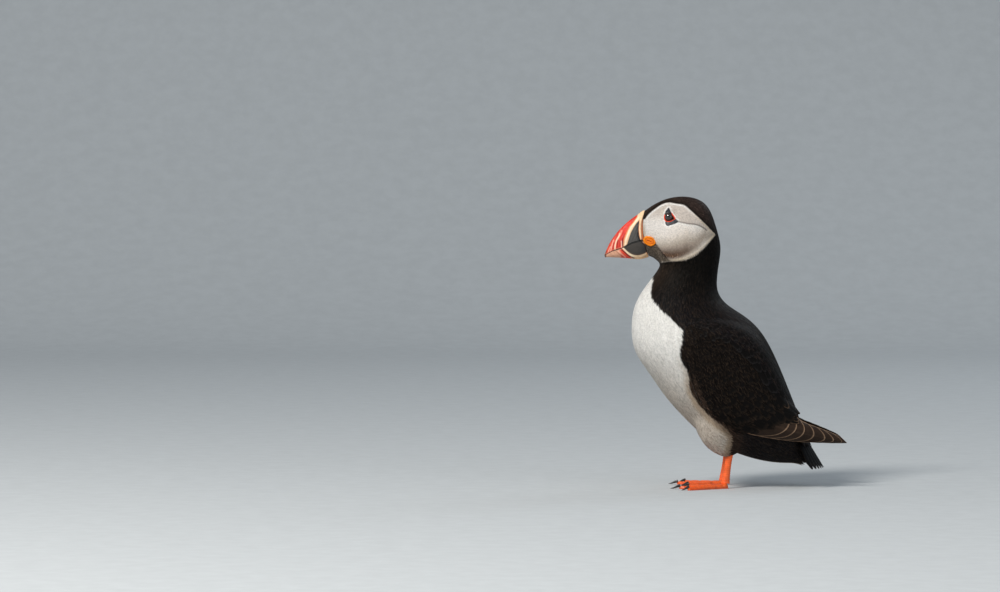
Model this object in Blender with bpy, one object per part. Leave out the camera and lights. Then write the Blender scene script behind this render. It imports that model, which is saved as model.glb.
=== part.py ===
"""Atlantic puffin at life size, standing with closed wings and closed bill, as named solids.

The bill points to -X, +Z is up and XZ is the plane of symmetry, so the bird's left side is -Y.
The origin is on the ground under the middle of the bird's box. Helpers work in millimetres,
and meshes are made in metres. Every solid keeps GAP clear of its neighbours.
"""

import math

import bmesh
import bpy
import numpy as np

MM = 0.001
GAP = 0.3

# Each rib of a loft spans the bird's plane of symmetry from the back outline to the front outline.
# Columns: back x, back z, front x, front z, half width, share by which the front half is fuller,
# and the side's roundness, where 1 is an ellipse and less is flatter.
BODY_RIBS = (
    (-60.7, 203.9, -57.0, 170.9, 8.8, 0.25, 0.75),  # feather edge behind the bill
    (-52.5, 209.4, -54.0, 169.8, 12.6, 0.25, 0.75),  # forehead and chin
    (-42.2, 213.6, -51.1, 167.6, 16.6, 0.22, 0.80),  # eye
    (-30.3, 214.8, -49.4, 165.8, 19.4, 0.18, 0.80),  # crown
    (-19.2, 212.0, -49.0, 163.9, 21.0, 0.12, 0.85),  # cheek
    (-11.8, 204.2, -49.6, 162.1, 21.5, 0.05, 0.90),
    (-7.0, 190.9, -50.7, 160.2, 21.3, 0.0, 0.95),  # nape and throat
    (-4.2, 177.6, -52.5, 157.6, 21.0, 0.0, 1.0),
    (-5.4, 165.0, -56.2, 152.4, 21.5, 0.0, 1.0),  # neck
    (-6.7, 153.9, -62.5, 143.6, 24.8, 0.0, 1.0),
    (-5.9, 144.3, -67.9, 131.7, 30.5, 0.0, 0.95),  # collar
    (0.7, 135.1, -69.6, 116.2, 36.8, 0.0, 0.90),  # shoulder
    (13.3, 126.5, -66.6, 99.9, 41.0, 0.03, 0.88),  # breast
    (25.2, 115.4, -56.2, 83.6, 43.0, 0.05, 0.88),
    (34.8, 99.2, -43.7, 65.9, 42.5, 0.05, 0.90),  # middle of the back
    (42.9, 80.7, -29.6, 50.3, 40.0, 0.05, 0.92),  # belly
    (48.8, 65.9, -14.8, 37.0, 35.5, 0.0, 0.95),
    (53.3, 54.0, 4.4, 26.6, 28.5, -0.05, 1.0),  # rump and vent
    (56.2, 42.9, 25.2, 20.0, 20.5, -0.10, 1.0),
    (57.7, 33.3, 41.4, 17.8, 13.5, -0.10, 1.0),  # tail coverts
    (59.2, 25.0, 51.0, 17.4, 8.0, 0.0, 1.0),
)
BILL_RIBS = (
    (-60.7, 204.2, -57.0, 170.3, 7.9, 0.30, 0.80),
    (-67.3, 200.3, -62.9, 168.7, 7.2, 0.30, 0.80),
    (-74.0, 195.1, -69.6, 168.9, 6.1, 0.30, 0.80),
    (-79.9, 189.2, -76.2, 169.5, 4.9, 0.28, 0.80),
    (-84.7, 182.8, -82.1, 169.8, 3.5, 0.25, 0.85),
    (-87.8, 176.9, -86.9, 170.0, 2.1, 0.20, 0.90),
    (-89.9, 171.8, -89.6, 169.9, 0.9, 0.0, 1.0),
)
# The closed wings lie on a wider hull, which leaves the body behind the rump and runs to the wing tips.
WING_RIBS = (
    (-6.7, 153.9, -62.5, 143.6, 28.3, 0.0, 1.0),
    (-5.9, 144.3, -67.9, 131.7, 34.2, 0.0, 0.95),
    (0.7, 135.1, -69.6, 116.2, 40.5, 0.0, 0.90),
    (13.3, 126.5, -66.6, 99.9, 44.8, 0.03, 0.88),
    (25.2, 115.4, -56.2, 83.6, 46.8, 0.05, 0.88),
    (34.8, 99.2, -43.7, 65.9, 46.3, 0.05, 0.88),
    (42.9, 80.7, -29.6, 50.3, 44.0, 0.05, 0.85),
    (50.2, 66.6, -14.8, 39.0, 40.5, 0.0, 0.80),
    (59.2, 54.8, 12.8, 34.5, 36.0, 0.0, 0.70),
    (68.8, 49.6, 38.5, 31.8, 30.5, 0.0, 0.60),
    (78.4, 44.4, 60.7, 31.1, 24.0, 0.0, 0.55),
    (86.6, 39.2, 79.9, 31.1, 18.5, 0.0, 0.55),
    (90.4, 34.8, 89.0, 31.8, 15.0, 0.0, 0.60),
)

SIDES = {"left": -1, "right": 1}
ROUND = 26  # points round a rib of the body
HEAD_CUT, NECK_CUT = 6.67, 9.67  # ribs at which head, neck and trunk part
BILL_CUT, RIDGE_CUT = 0.04, 0.42  # ribs of the bill at which its basal ridge starts and ends

# The closed mouth: a straight slit from the bill's tip back to the gape.
MOUTH_FRONT = (-88.8, 172.0)
MOUTH_BACK = (-62.9, 182.4)

EYE_CENTRE = (-42.5, 200.0)  # x, z
EYE_RADIUS = 3.9
EYE_PROUD = 1.3  # how far the eyeball stands out of the feathers

# Oval trim on each side of the face: x, z, half length, half height, thickness, turn in degrees.
ROSETTE = (-57.2, 181.9, 4.5, 3.1, 2.6, -28.0)
UPPER_PLATE = (-42.3, 204.6, 1.6, 2.7, 0.9, 0.0)
LOWER_PLATE = (-41.3, 195.5, 3.9, 1.4, 0.9, 12.0)

# The leg: a feathered thigh, then a bare tarsus between the ankle and the ball of the foot.
LEG_OUT = 19.5  # half the distance between the legs
THIGH_PATH = ((-9.5, 55.0, 13.0), (-8.0, 46.0, 14.5), (-5.5, 37.5, 12.0), (-1.0, 31.0, 8.5), (2.5, 26.5, 5.4))
ANKLE = (2.6, 29.5)
BALL = (-1.0, 4.5)
TARSUS_DEEP, TARSUS_WIDE = 2.4, 1.7  # half sizes at the middle

# The foot: three toes joined by web, flat underneath. Each toe: angle outwards, length, claw length.
TOES = {"inner": (-27.0, 31.0, 5.5), "middle": (0.0, 37.0, 6.0), "outer": (24.0, 36.0, 5.5)}
FOOT_TURN = 8.0  # degrees that a foot points outwards
HEEL_RADIUS = 3.2
WEB_THICK = 0.9
TOE_HIGH = 3.0
TOE_HALF_WIDTH = 1.7
BALL_HIGH, BALL_WIDE = 4.2, 5.5  # the mound under the tarsus
WEB_NOTCH = 0.17  # how far the web's edge falls back between two toe tips, as a share of their length
CLAW_RADIUS = 1.1

TAIL_ROOT = (52.5, 48.1)
TAIL_TIP = (73.0, 14.7)
TAIL_HALF_ROOT, TAIL_HALF_TIP = 12.0, 25.0
TAIL_ARCH = 9.0  # how far the outer feathers lie under the middle ones
TAIL_THICK_ROOT, TAIL_THICK_TIP = 3.6, 1.3

# The wing's outline on the hull, as rib numbers and angles in degrees from the back.
WING_AT = (2.35, 2.6, 3.0, 3.5, 4.25, 5.0, 6.0, 7.0, 8.0, 9.5, 11.0, 11.95)
WING_TOP = (86.0, 74.0, 62.0, 53.0, 45.0, 41.0, 38.0, 37.0, 38.0, 40.0, 42.0, 60.0)
WING_BOTTOM = (98.0, 101.5, 106.0, 110.5, 114.5, 121.0, 124.5, 123.0, 128.0, 138.0, 138.0, 120.0)
WING_THICK_EDGE, WING_THICK_MIDDLE = 1.0, 2.8
WING_FREE = (6.5, 9.0)  # ribs over which the wing leaves the body


def clear_scene():
    """Empties the scene."""
    for obj in list(bpy.data.objects):
        bpy.data.objects.remove(obj)


def material(name, colour, roughness, metallic=0.0):
    """A plain finish."""
    made = bpy.data.materials.new(name)
    made.use_nodes = True
    shader = made.node_tree.nodes["Principled BSDF"]
    shader.inputs["Base Color"].default_value = (*colour, 1.0)
    shader.inputs["Roughness"].default_value = roughness
    shader.inputs["Metallic"].default_value = metallic
    return made


def spline(knots, values, at):
    """The natural cubic curve through the values at the knots, read at the places in at."""
    knots, values, at = (np.asarray(a, float) for a in (knots, values, at))
    count, step = len(knots), np.diff(knots)
    system, right = np.eye(count), np.zeros_like(values)
    for i in range(1, count - 1):
        system[i, i - 1 : i + 2] = step[i - 1], 2 * (step[i - 1] + step[i]), step[i]
        right[i] = 6 * ((values[i + 1] - values[i]) / step[i] - (values[i] - values[i - 1]) / step[i - 1])
    bend = np.linalg.solve(system, right)
    k = np.clip(np.searchsorted(knots, at) - 1, 0, count - 2)
    before, after, wide = at - knots[k], knots[k + 1] - at, step[k]
    if values.ndim > 1:
        before, after, wide = before[..., None], after[..., None], wide[..., None]
    curve = (bend[k] * after**3 + bend[k + 1] * before**3) / (6 * wide)
    return curve + (values[k] / wide - bend[k] * wide / 6) * after + (values[k + 1] / wide - bend[k + 1] * wide / 6) * before


def loft_point(ribs, t, turn):
    """Points of the loft at rib number t and angle turn, from 0 at the back through +Y to pi at the front."""
    t, turn = np.broadcast_arrays(np.asarray(t, float), np.asarray(turn, float))
    back_x, back_z, front_x, front_z, half, full, flat = np.moveaxis(spline(range(len(ribs)), ribs, t), -1, 0)
    along, across = np.cos(turn), np.sin(turn)
    x = (back_x + front_x) / 2 + (back_x - front_x) / 2 * along
    z = (back_z + front_z) / 2 + (back_z - front_z) / 2 * along
    y = half * np.sign(across) * np.abs(across) ** flat * (1 - full * along)
    return np.stack([x, y, z], axis=-1)


def loft_normal(ribs, t, turn):
    """Outward unit normals of the loft."""
    step = 1e-3
    along = loft_point(ribs, t + step, turn) - loft_point(ribs, t - step, turn)
    around = loft_point(ribs, t, turn + step) - loft_point(ribs, t, turn - step)
    forwards = ribs[0][0] > ribs[-1][0]  # a loft that runs towards -X has its sides the other way round
    normal = np.cross(around, along) if forwards else np.cross(along, around)
    return normal / np.linalg.norm(normal, axis=-1, keepdims=True)


def lifted_point(ribs, t, turn, lift):
    """Points of the loft moved outwards along its normal by lift."""
    return loft_point(ribs, t, turn) + loft_normal(ribs, t, turn) * np.asarray(lift)[..., None]


def rib_plane(ribs, t):
    """A point on the plane of rib t, and the plane's normal towards the tail."""
    back, front = loft_point(ribs, t, 0.0), loft_point(ribs, t, math.pi)
    rib = back - front
    normal = np.array([rib[2], 0.0, -rib[0]])
    return (back + front) / 2, normal / np.linalg.norm(normal)


def add_object(name, mesh_builder, finish):
    """A new object from a bmesh in millimetres, with its faces turned outwards."""
    mesh_builder.normal_update()
    bmesh.ops.recalc_face_normals(mesh_builder, faces=mesh_builder.faces[:])
    bmesh.ops.scale(mesh_builder, vec=(MM, MM, MM), verts=mesh_builder.verts[:])
    mesh = bpy.data.meshes.new(name)
    mesh_builder.to_mesh(mesh)
    mesh_builder.free()
    mesh.shade_smooth()
    mesh.set_sharp_from_angle(angle=math.radians(45))
    obj = bpy.data.objects.new(name, mesh)
    bpy.context.scene.collection.objects.link(obj)
    if finish is not None:
        mesh.materials.append(finish)
    return obj


def tube(rings):
    """A closed tube through rings of points, shaped (rings, points, 3), with a flat cap on each end."""
    built = bmesh.new()
    rows = [[built.verts.new(p) for p in ring] for ring in rings]
    for row, after in zip(rows, rows[1:]):
        for i in range(len(row)):
            k = (i + 1) % len(row)
            built.faces.new((row[i], row[k], after[k], after[i]))
    built.faces.new(rows[0])
    built.faces.new(rows[-1])
    return built


def plate(outer, inner):
    """A closed plate between two grids of points, each shaped (rows, columns, 3)."""
    built = bmesh.new()
    top = [[built.verts.new(p) for p in row] for row in outer]
    under = [[built.verts.new(p) for p in row] for row in inner]
    rows, columns = len(top), len(top[0])
    for sheet in (top, under):
        for i in range(rows - 1):
            for k in range(columns - 1):
                built.faces.new((sheet[i][k], sheet[i + 1][k], sheet[i + 1][k + 1], sheet[i][k + 1]))
    rim = [(i, 0) for i in range(rows)] + [(rows - 1, k) for k in range(1, columns)]
    rim += [(i, columns - 1) for i in range(rows - 2, -1, -1)] + [(0, k) for k in range(columns - 2, 0, -1)]
    for (i, k), (m, n) in zip(rim, rim[1:] + rim[:1]):
        built.faces.new((top[i][k], top[m][n], under[m][n], under[i][k]))
    return built


def cut(built, point, normal):
    """Takes away what lies beyond a plane, on its normal's side, and closes the hole."""
    everything = built.verts[:] + built.edges[:] + built.faces[:]
    bmesh.ops.bisect_plane(built, geom=everything, dist=1e-5, plane_co=point, plane_no=normal, clear_outer=True)
    open_edges = [e for e in built.edges if e.is_boundary]
    bmesh.ops.holes_fill(built, edges=open_edges, sides=0)


def loft_rings(ribs, first, last, count, around, lift=0.0):
    """Rings of a loft from one rib number to another."""
    t = np.linspace(first, last, count)[:, None]
    turn = np.linspace(0, 2 * math.pi, around, endpoint=False)[None, :]
    if lift == 0.0:
        return loft_point(ribs, t, turn)
    return lifted_point(ribs, t, turn, lift)


def body_piece(name, first, last, count, finish, front_cut=None, back_cut=None):
    """A stretch of the body between two ribs, cut back from each cutting rib by half a gap."""
    built = tube(loft_rings(BODY_RIBS, first, last, count, ROUND))
    for rib, side in ((front_cut, -1), (back_cut, 1)):
        if rib is not None:
            point, normal = rib_plane(BODY_RIBS, rib)
            cut(built, point - normal * side * GAP / 2, normal * side)
    return add_object(name, built, finish)


def helper_object(name, built):
    """An object that is only there to be cut out of others."""
    helper = add_object(name, built, None)
    helper.hide_render = True
    helper.display_type = "WIRE"
    return helper


def keepout(name, ribs, first, last, count):
    """A helper: a loft grown by the gap, which is cut out of the solids that lie against it."""
    return helper_object(name, tube(loft_rings(ribs, first, last, count, ROUND, GAP)))


def carve(obj, *cutters):
    """Cuts each helper out of the object."""
    for cutter in cutters:
        modifier = obj.modifiers.new("carve_" + cutter.name, "BOOLEAN")
        modifier.operation = "DIFFERENCE"
        modifier.solver = "EXACT"
        modifier.object = cutter


def side_place(x, z):
    """The rib number and angle at which the side of the head is at x and z, by Newton's method."""
    place = np.array([2.0, math.pi / 2])
    for _ in range(20):
        here = loft_point(BODY_RIBS, *place)
        by_t = (loft_point(BODY_RIBS, place[0] + 1e-4, place[1]) - here) / 1e-4
        by_turn = (loft_point(BODY_RIBS, place[0], place[1] + 1e-4) - here) / 1e-4
        slope = np.array([[by_t[0], by_turn[0]], [by_t[2], by_turn[2]]])
        place = place + np.linalg.solve(slope, [x - here[0], z - here[2]])
    return place


def side_of(x, z):
    """The half width of the head at x and z."""
    return float(loft_point(BODY_RIBS, *side_place(x, z))[1])


def ball(centre, radius):
    """A ball whose poles point to the sides."""
    built = bmesh.new()
    bmesh.ops.create_uvsphere(built, u_segments=16, v_segments=9, radius=radius)
    for v in built.verts:
        v.co = (centre[0] + v.co.x, centre[1] - v.co.z, centre[2] + v.co.y)
    return built


def make_head(feathers):
    """The head, with a socket for each eye."""
    head = body_piece("head", 0.0, 7.4, 18, feathers, back_cut=HEAD_CUT)
    for side, sign in SIDES.items():
        carve(head, helper_object("socket_" + side, ball(eye_centre(sign), EYE_RADIUS + GAP)))


def eye_centre(sign):
    """The middle of the eyeball on one side."""
    x, z = EYE_CENTRE
    wide = side_of(x, z)
    return (x, sign * (wide + EYE_PROUD - EYE_RADIUS), z)


def make_bill(plate_finish, ridge_finish):
    """The bill: upper and lower mandible, and the ridge round the base of the upper one."""
    (front_x, front_z), (back_x, back_z) = MOUTH_FRONT, MOUTH_BACK
    up = np.array([front_z - back_z, 0.0, back_x - front_x])
    up /= np.linalg.norm(up)
    mouth = np.array([front_x, 0.0, front_z])
    last = len(BILL_RIBS) - 1.0
    pieces = {
        "bill_upper": (RIDGE_CUT, last, 14, 1, plate_finish),
        "bill_lower": (BILL_CUT, last, 15, -1, plate_finish),
        "bill_ridge": (BILL_CUT, RIDGE_CUT, 4, 1, ridge_finish),
    }
    for name, (first, end, count, above, finish) in pieces.items():
        built = tube(loft_rings(BILL_RIBS, 0.0 if end == last else -0.1, end + (0.2 if end != last else 0), count, 20))
        point, normal = rib_plane(BILL_RIBS, first)
        cut(built, point - normal * GAP, normal)
        if end != last:
            point, normal = rib_plane(BILL_RIBS, end)
            cut(built, point, -normal)
        cut(built, mouth + up * above * GAP / 2, -up * above)
        add_object(name, built, finish)


def rosette(sign):
    """The fold of bare skin at the corner of the mouth: a flat ellipsoid that leans with the face."""
    x, z, long_half, high_half, thick, turned = ROSETTE
    ahead, behind, below, above = (
        side_of(x + dx, z + dz) for dx, dz in ((-0.5, 0), (3.5, 0), (1.5, -2), (1.5, 2))
    )
    wide = side_of(x + 1.5, z) - 1.5 * (behind - ahead) / 4
    built = bmesh.new()
    bmesh.ops.create_uvsphere(built, u_segments=14, v_segments=7, radius=1.0)
    turn = math.radians(turned)
    for v in built.verts:
        run, rise, out = v.co.x * long_half, v.co.y * high_half, v.co.z * thick
        dx = run * math.cos(turn) - rise * math.sin(turn)
        dz = run * math.sin(turn) + rise * math.cos(turn)
        lean = dx * (behind - ahead) / 4 + dz * (above - below) / 4
        v.co = (x + dx, sign * (wide + lean + out), z + dz)
    return built


def face_plate(sign, place):
    """A domed plate that lies on the side of the face."""
    x, z, long_half, high_half, thick, turned = place
    tilt, around = math.radians(turned), np.linspace(0, 2 * math.pi, 14, endpoint=False)
    rings = []
    for size, rise in ((0.5, 0.0), (1.0, 0.0), (0.93, 0.6), (0.55, 1.0)):
        ring = []
        for turn in around:
            run, up = size * long_half * math.cos(turn), size * high_half * math.sin(turn)
            dx, dz = run * math.cos(tilt) - up * math.sin(tilt), run * math.sin(tilt) + up * math.cos(tilt)
            t, angle = side_place(x + dx, z + dz)
            ring.append(lifted_point(BODY_RIBS, t, angle, GAP + 0.06 + rise * thick) * (1, sign, 1))
        rings.append(ring)
    return tube(rings)


def make_wing(side, sign, finish):
    """A closed wing: a thin shell on the hull round the body, which runs on to the wing tip."""
    rows, columns = 25, 7
    t = np.linspace(WING_AT[0], WING_AT[-1], rows)
    top, bottom = (np.radians(spline(WING_AT, edge, t)) for edge in (WING_TOP, WING_BOTTOM))
    share = np.linspace(0, 1, columns)[None, :]
    turn = top[:, None] * (1 - share) + bottom[:, None] * share
    thick = WING_THICK_EDGE + (WING_THICK_MIDDLE - WING_THICK_EDGE) * np.sin(math.pi * share) * np.ones_like(turn)
    t = t[:, None] * np.ones_like(turn)
    outer = loft_point(WING_RIBS, t, turn)
    # Over the body the shell gets its thickness along the hull's normal, and near the thin wing tip sideways.
    free = np.clip((t - WING_FREE[0]) / (WING_FREE[1] - WING_FREE[0]), 0, 1)[..., None]
    inwards = loft_normal(WING_RIBS, t, turn) * (1 - free) + np.array([0.0, 1.0, 0.0]) * free
    inner = outer - thick[..., None] * inwards / np.linalg.norm(inwards, axis=-1, keepdims=True)
    mirror = np.array([1.0, sign, 1.0])
    add_object("wing_" + side, plate(outer * mirror, inner * mirror), finish)


def make_thigh(side, sign, finish, around_body):
    """The feathered thigh, from the flank down to the ankle, with a hole for the top of the tarsus."""
    path = np.array(THIGH_PATH)
    t = np.linspace(0, len(path) - 1, 10)
    centre = spline(range(len(path)), path, t)
    down = np.gradient(centre[:, :2], axis=0)
    down /= np.linalg.norm(down, axis=1, keepdims=True)
    turn = np.linspace(0, 2 * math.pi, 14, endpoint=False)
    rings = []
    for (x, z, radius), (run, fall) in zip(centre, down):
        ahead = radius * np.cos(turn)
        rings.append(
            np.stack([x - fall * ahead, sign * (LEG_OUT + 0.86 * radius * np.sin(turn)), z + run * ahead], axis=-1)
        )
    thigh = add_object("thigh_" + side, tube(rings), finish)
    carve(thigh, around_body, helper_object("around_tarsus_" + side, tarsus_tube(sign, GAP)))


def tarsus_tube(sign, grown=0.0):
    """The bare lower leg, wider at the ankle and over the toes, and grown on all sides if asked."""
    top, bottom = np.array(ANKLE), np.array(BALL)
    turn = np.linspace(0, 2 * math.pi, 10, endpoint=False)
    rings = []
    for s in np.linspace(-0.04 * (grown > 0), 1, 7):
        x, z = top * (1 - s) + bottom * s
        swell = 1 + 0.28 * (2 * s - 1) ** 2
        ahead, out = (half * swell + grown * 1.1 for half in (TARSUS_DEEP, TARSUS_WIDE))
        rings.append(
            np.stack([x + ahead * np.cos(turn), sign * (LEG_OUT + out * np.sin(turn)), z + 0 * turn], axis=-1)
        )
    return tube(rings)


def foot_height(radius, angle):
    """The height of the foot's top: the web, a ridge along each toe that falls to its tip, and the ball."""
    high = WEB_THICK + (BALL_HIGH - WEB_THICK) * np.exp(-((radius / BALL_WIDE) ** 4)) * np.ones_like(angle)
    for toe_angle, length, _ in TOES.values():
        off = radius * np.sin(angle - math.radians(toe_angle))
        ridge = (TOE_HIGH - WEB_THICK) * (1 - 0.45 * radius / length)
        high = np.maximum(high, WEB_THICK + ridge * np.exp(-((off / TOE_HALF_WIDTH) ** 2)))
    return high


def foot_reach(angle):
    """How far the foot reaches from its ball at an angle: to each toe's tip, and less far over the web."""
    angles = [math.radians(a) for a, _, _ in TOES.values()]
    lengths = [length for _, length, _ in TOES.values()]
    straight = np.interp(angle, angles, lengths)
    gaps = np.interp(angle, angles, range(len(angles)))
    return straight * (1 - WEB_NOTCH * np.sin(math.pi * (gaps % 1)) ** 0.7)


def make_foot(side, sign, finish, claw_finish):
    """A webbed foot on the ground: a height field over a fan round the ball of the foot, and its claws."""
    first, last = (math.radians(a) for a in (TOES["inner"][0], TOES["outer"][0]))
    beside = np.radians((-5.0, -2.3, 0.0, 2.3, 5.0))
    middles = [(math.radians(a) + math.radians(b)) / 2 for a, b in ((TOES["inner"][0], 0.0), (0.0, TOES["outer"][0]))]
    angle = np.sort(np.concatenate([math.radians(a) + beside for a, _, _ in TOES.values()] + [middles]))[None, :]
    share = np.linspace(0, 1, 8)[:, None]
    radius = share * foot_reach(np.clip(angle, first, last)) * np.cos(angle - np.clip(angle, first, last))
    x, y = fan_place(radius, angle)
    high = foot_height(radius, angle)
    floor = np.stack([x, sign * y, np.zeros_like(x)], axis=-1)
    top = np.stack([x, sign * y, high], axis=-1)
    add_object("foot_" + side, plate(top, floor), finish)
    for toe, (toe_angle, length, claw) in TOES.items():
        make_claw(f"claw_{side}_{toe}", sign, math.radians(toe_angle), length + GAP, claw, claw_finish)


def fan_place(radius, angle):
    """Ground x and outward y of a place on the left foot's fan. The fan's centre line points forwards."""
    heading = angle + math.radians(FOOT_TURN)
    spread = HEEL_RADIUS * np.sin(angle) * 1.6  # keeps the ball of the foot a few millimetres wide
    x = BALL[0] + HEEL_RADIUS * 0.6 - radius * np.cos(heading)
    return x, LEG_OUT + radius * np.sin(heading) + spread


def make_claw(name, sign, angle, start, length, finish):
    """A curved claw that tapers to a point in front of its toe."""
    turn = np.linspace(0, 2 * math.pi, 7, endpoint=False)
    rings = []
    for s in np.linspace(0, 1, 5):
        x, y = fan_place(start + length * s, angle)
        thick = CLAW_RADIUS * (1 - 0.85 * s)
        z = 0.35 + thick + 0.9 * math.sin(math.pi * min(s + 0.25, 1.0)) * (1 - s)
        heading = angle + math.radians(FOOT_TURN)
        wide, tall = thick * np.cos(turn), thick * np.sin(turn)
        rings.append(
            np.stack([x + wide * math.sin(heading), sign * (y + wide * math.cos(heading)), z + tall], axis=-1)
        )
    return add_object(name, tube(rings), finish)


def make_tail(finish):
    """The tail: a short arched fan of stiff feathers."""
    root, tip = np.array(TAIL_ROOT), np.array(TAIL_TIP)
    back = (tip - root) / np.linalg.norm(tip - root)
    up = np.array([-back[1], back[0]])
    share = np.linspace(0, 1, 8)[:, None]
    side = np.linspace(-1, 1, 13)[None, :]
    reach = share * np.linalg.norm(tip - root) * (1 - 0.14 * side**2)
    drop = TAIL_ARCH * side**2 * (0.45 + 0.55 * share)
    half = TAIL_HALF_ROOT + (TAIL_HALF_TIP - TAIL_HALF_ROOT) * share
    thick = TAIL_THICK_ROOT + (TAIL_THICK_TIP - TAIL_THICK_ROOT) * share
    thick = thick * (1 - 0.45 * side**2)
    y = side * half

    def sheet(depth):
        x = root[0] + back[0] * reach - up[0] * (drop + depth)
        z = root[1] + back[1] * reach - up[1] * (drop + depth)
        return np.stack([x, y, z], axis=-1)

    return add_object("tail", plate(sheet(0 * thick), sheet(thick)), finish)


def main():
    clear_scene()
    black = material("black_plumage", (0.02, 0.02, 0.022), 0.6)
    grey = material("face_plumage", (0.62, 0.60, 0.58), 0.8)
    white = material("white_plumage", (0.78, 0.76, 0.72), 0.8)
    horn = material("bill_horn", (0.78, 0.16, 0.06), 0.35)
    cream = material("bill_cream", (0.85, 0.68, 0.45), 0.45)
    orange = material("rosette_skin", (0.95, 0.42, 0.02), 0.45)
    slate = material("eye_plates", (0.05, 0.07, 0.09), 0.5)
    eye = material("eye", (0.03, 0.02, 0.02), 0.05)
    foot = material("foot_skin", (0.85, 0.22, 0.03), 0.45)
    claw = material("claw_horn", (0.02, 0.015, 0.015), 0.35)

    last = len(BODY_RIBS) - 1.0
    make_head(grey)
    body_piece("neck", 5.9, 10.3, 10, black, front_cut=HEAD_CUT, back_cut=NECK_CUT)
    body_piece("trunk", 9.0, last, 26, white, front_cut=NECK_CUT)
    make_bill(horn, cream)
    around_body = keepout("around_body", BODY_RIBS, 0.0, last, 61)
    around_bill = keepout("around_bill", BILL_RIBS, -0.1, len(BILL_RIBS) - 1.0, 19)
    carve(make_tail(black), around_body)
    for side, sign in SIDES.items():
        add_object("eye_" + side, ball(eye_centre(sign), EYE_RADIUS), eye)
        round_eye = helper_object("around_eye_" + side, ball(eye_centre(sign), EYE_RADIUS + 1.4 * GAP))
        carve(add_object("rosette_" + side, rosette(sign), orange), around_body, around_bill)
        for which, place in (("upper", UPPER_PLATE), ("lower", LOWER_PLATE)):
            carve(add_object(f"eye_plate_{which}_{side}", face_plate(sign, place), slate), round_eye)
        make_wing(side, sign, black)
        make_thigh(side, sign, white, around_body)
        add_object("tarsus_" + side, tarsus_tube(sign), foot)
        make_foot(side, sign, foot, claw)


main()
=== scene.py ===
import math

import bpy
import numpy as np
from bpy.props import FloatProperty, FloatVectorProperty, PointerProperty
from bpy.types import Operator, Panel, PropertyGroup
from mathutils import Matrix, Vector


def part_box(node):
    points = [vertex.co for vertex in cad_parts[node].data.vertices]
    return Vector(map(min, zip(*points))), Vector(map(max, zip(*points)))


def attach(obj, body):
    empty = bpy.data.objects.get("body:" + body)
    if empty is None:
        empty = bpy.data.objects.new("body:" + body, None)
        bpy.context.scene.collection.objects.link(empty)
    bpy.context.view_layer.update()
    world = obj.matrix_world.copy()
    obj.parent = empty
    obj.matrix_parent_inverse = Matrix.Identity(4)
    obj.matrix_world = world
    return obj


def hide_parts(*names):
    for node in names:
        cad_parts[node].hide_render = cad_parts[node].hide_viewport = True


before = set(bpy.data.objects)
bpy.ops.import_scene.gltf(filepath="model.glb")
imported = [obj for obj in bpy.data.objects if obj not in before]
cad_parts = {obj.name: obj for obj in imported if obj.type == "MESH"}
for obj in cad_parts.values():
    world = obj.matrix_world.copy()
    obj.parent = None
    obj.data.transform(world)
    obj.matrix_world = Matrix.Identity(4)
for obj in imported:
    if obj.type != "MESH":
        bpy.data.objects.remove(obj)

bl_info = {
    "name": "Atlantic puffin",
    "version": (1, 0, 0),
    "blender": (4, 5, 0),
    "location": "View3D > Sidebar > Puffin",
    "description": "Skin, feathers, bill, eyes and feet of a life-size standing puffin",
    "category": "Add Mesh",
}

# Shapes are worked out in millimetres and made in metres. The bird faces -X and its left side is -Y.
MM = 0.001
SIDES = {"left": -1, "right": 1}

# Ribs of the laid plumage, from the bill to the tail. Each spans the plane of symmetry.
# Columns: back x, back z, front x, front z, half width, share by which the front half is fuller, roundness.
BODY_RIBS = (
    (-60.7, 203.9, -57.0, 170.9, 8.8, 0.25, 0.75),
    (-52.5, 209.4, -54.0, 169.8, 12.6, 0.25, 0.75),
    (-42.2, 213.6, -51.1, 167.6, 16.6, 0.22, 0.80),
    (-30.3, 214.8, -49.4, 165.8, 19.4, 0.18, 0.80),
    (-19.2, 212.0, -49.0, 163.9, 21.0, 0.12, 0.85),
    (-11.8, 204.2, -49.6, 162.1, 21.5, 0.05, 0.90),
    (-7.0, 190.9, -50.7, 160.2, 21.3, 0.0, 0.95),
    (-4.2, 177.6, -52.5, 157.6, 21.0, 0.0, 1.0),
    (-5.4, 165.0, -56.2, 152.4, 21.5, 0.0, 1.0),
    (-6.7, 153.9, -62.5, 143.6, 24.8, 0.0, 1.0),
    (-5.9, 144.3, -67.9, 131.7, 30.5, 0.0, 0.95),
    (0.7, 135.1, -69.6, 116.2, 36.8, 0.0, 0.90),
    (13.3, 126.5, -66.6, 99.9, 41.0, 0.03, 0.88),
    (25.2, 115.4, -56.2, 83.6, 43.0, 0.05, 0.88),
    (34.8, 99.2, -43.7, 65.9, 42.5, 0.05, 0.90),
    (42.9, 80.7, -29.6, 50.3, 40.0, 0.05, 0.92),
    (48.8, 65.9, -14.8, 37.0, 35.5, 0.0, 0.95),
    (53.3, 54.0, 4.4, 26.6, 28.5, -0.05, 1.0),
    (56.2, 42.9, 25.2, 20.0, 20.5, -0.10, 1.0),
    (57.7, 33.3, 41.4, 17.8, 13.5, -0.10, 1.0),
    (59.2, 25.0, 51.0, 17.4, 8.0, 0.0, 1.0),
    (63.0, 18.0, 59.0, 15.0, 3.6, 0.0, 1.0),
)
BODY_END = 20.0  # the skin ends here, and only feathers reach on to the last rib
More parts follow.
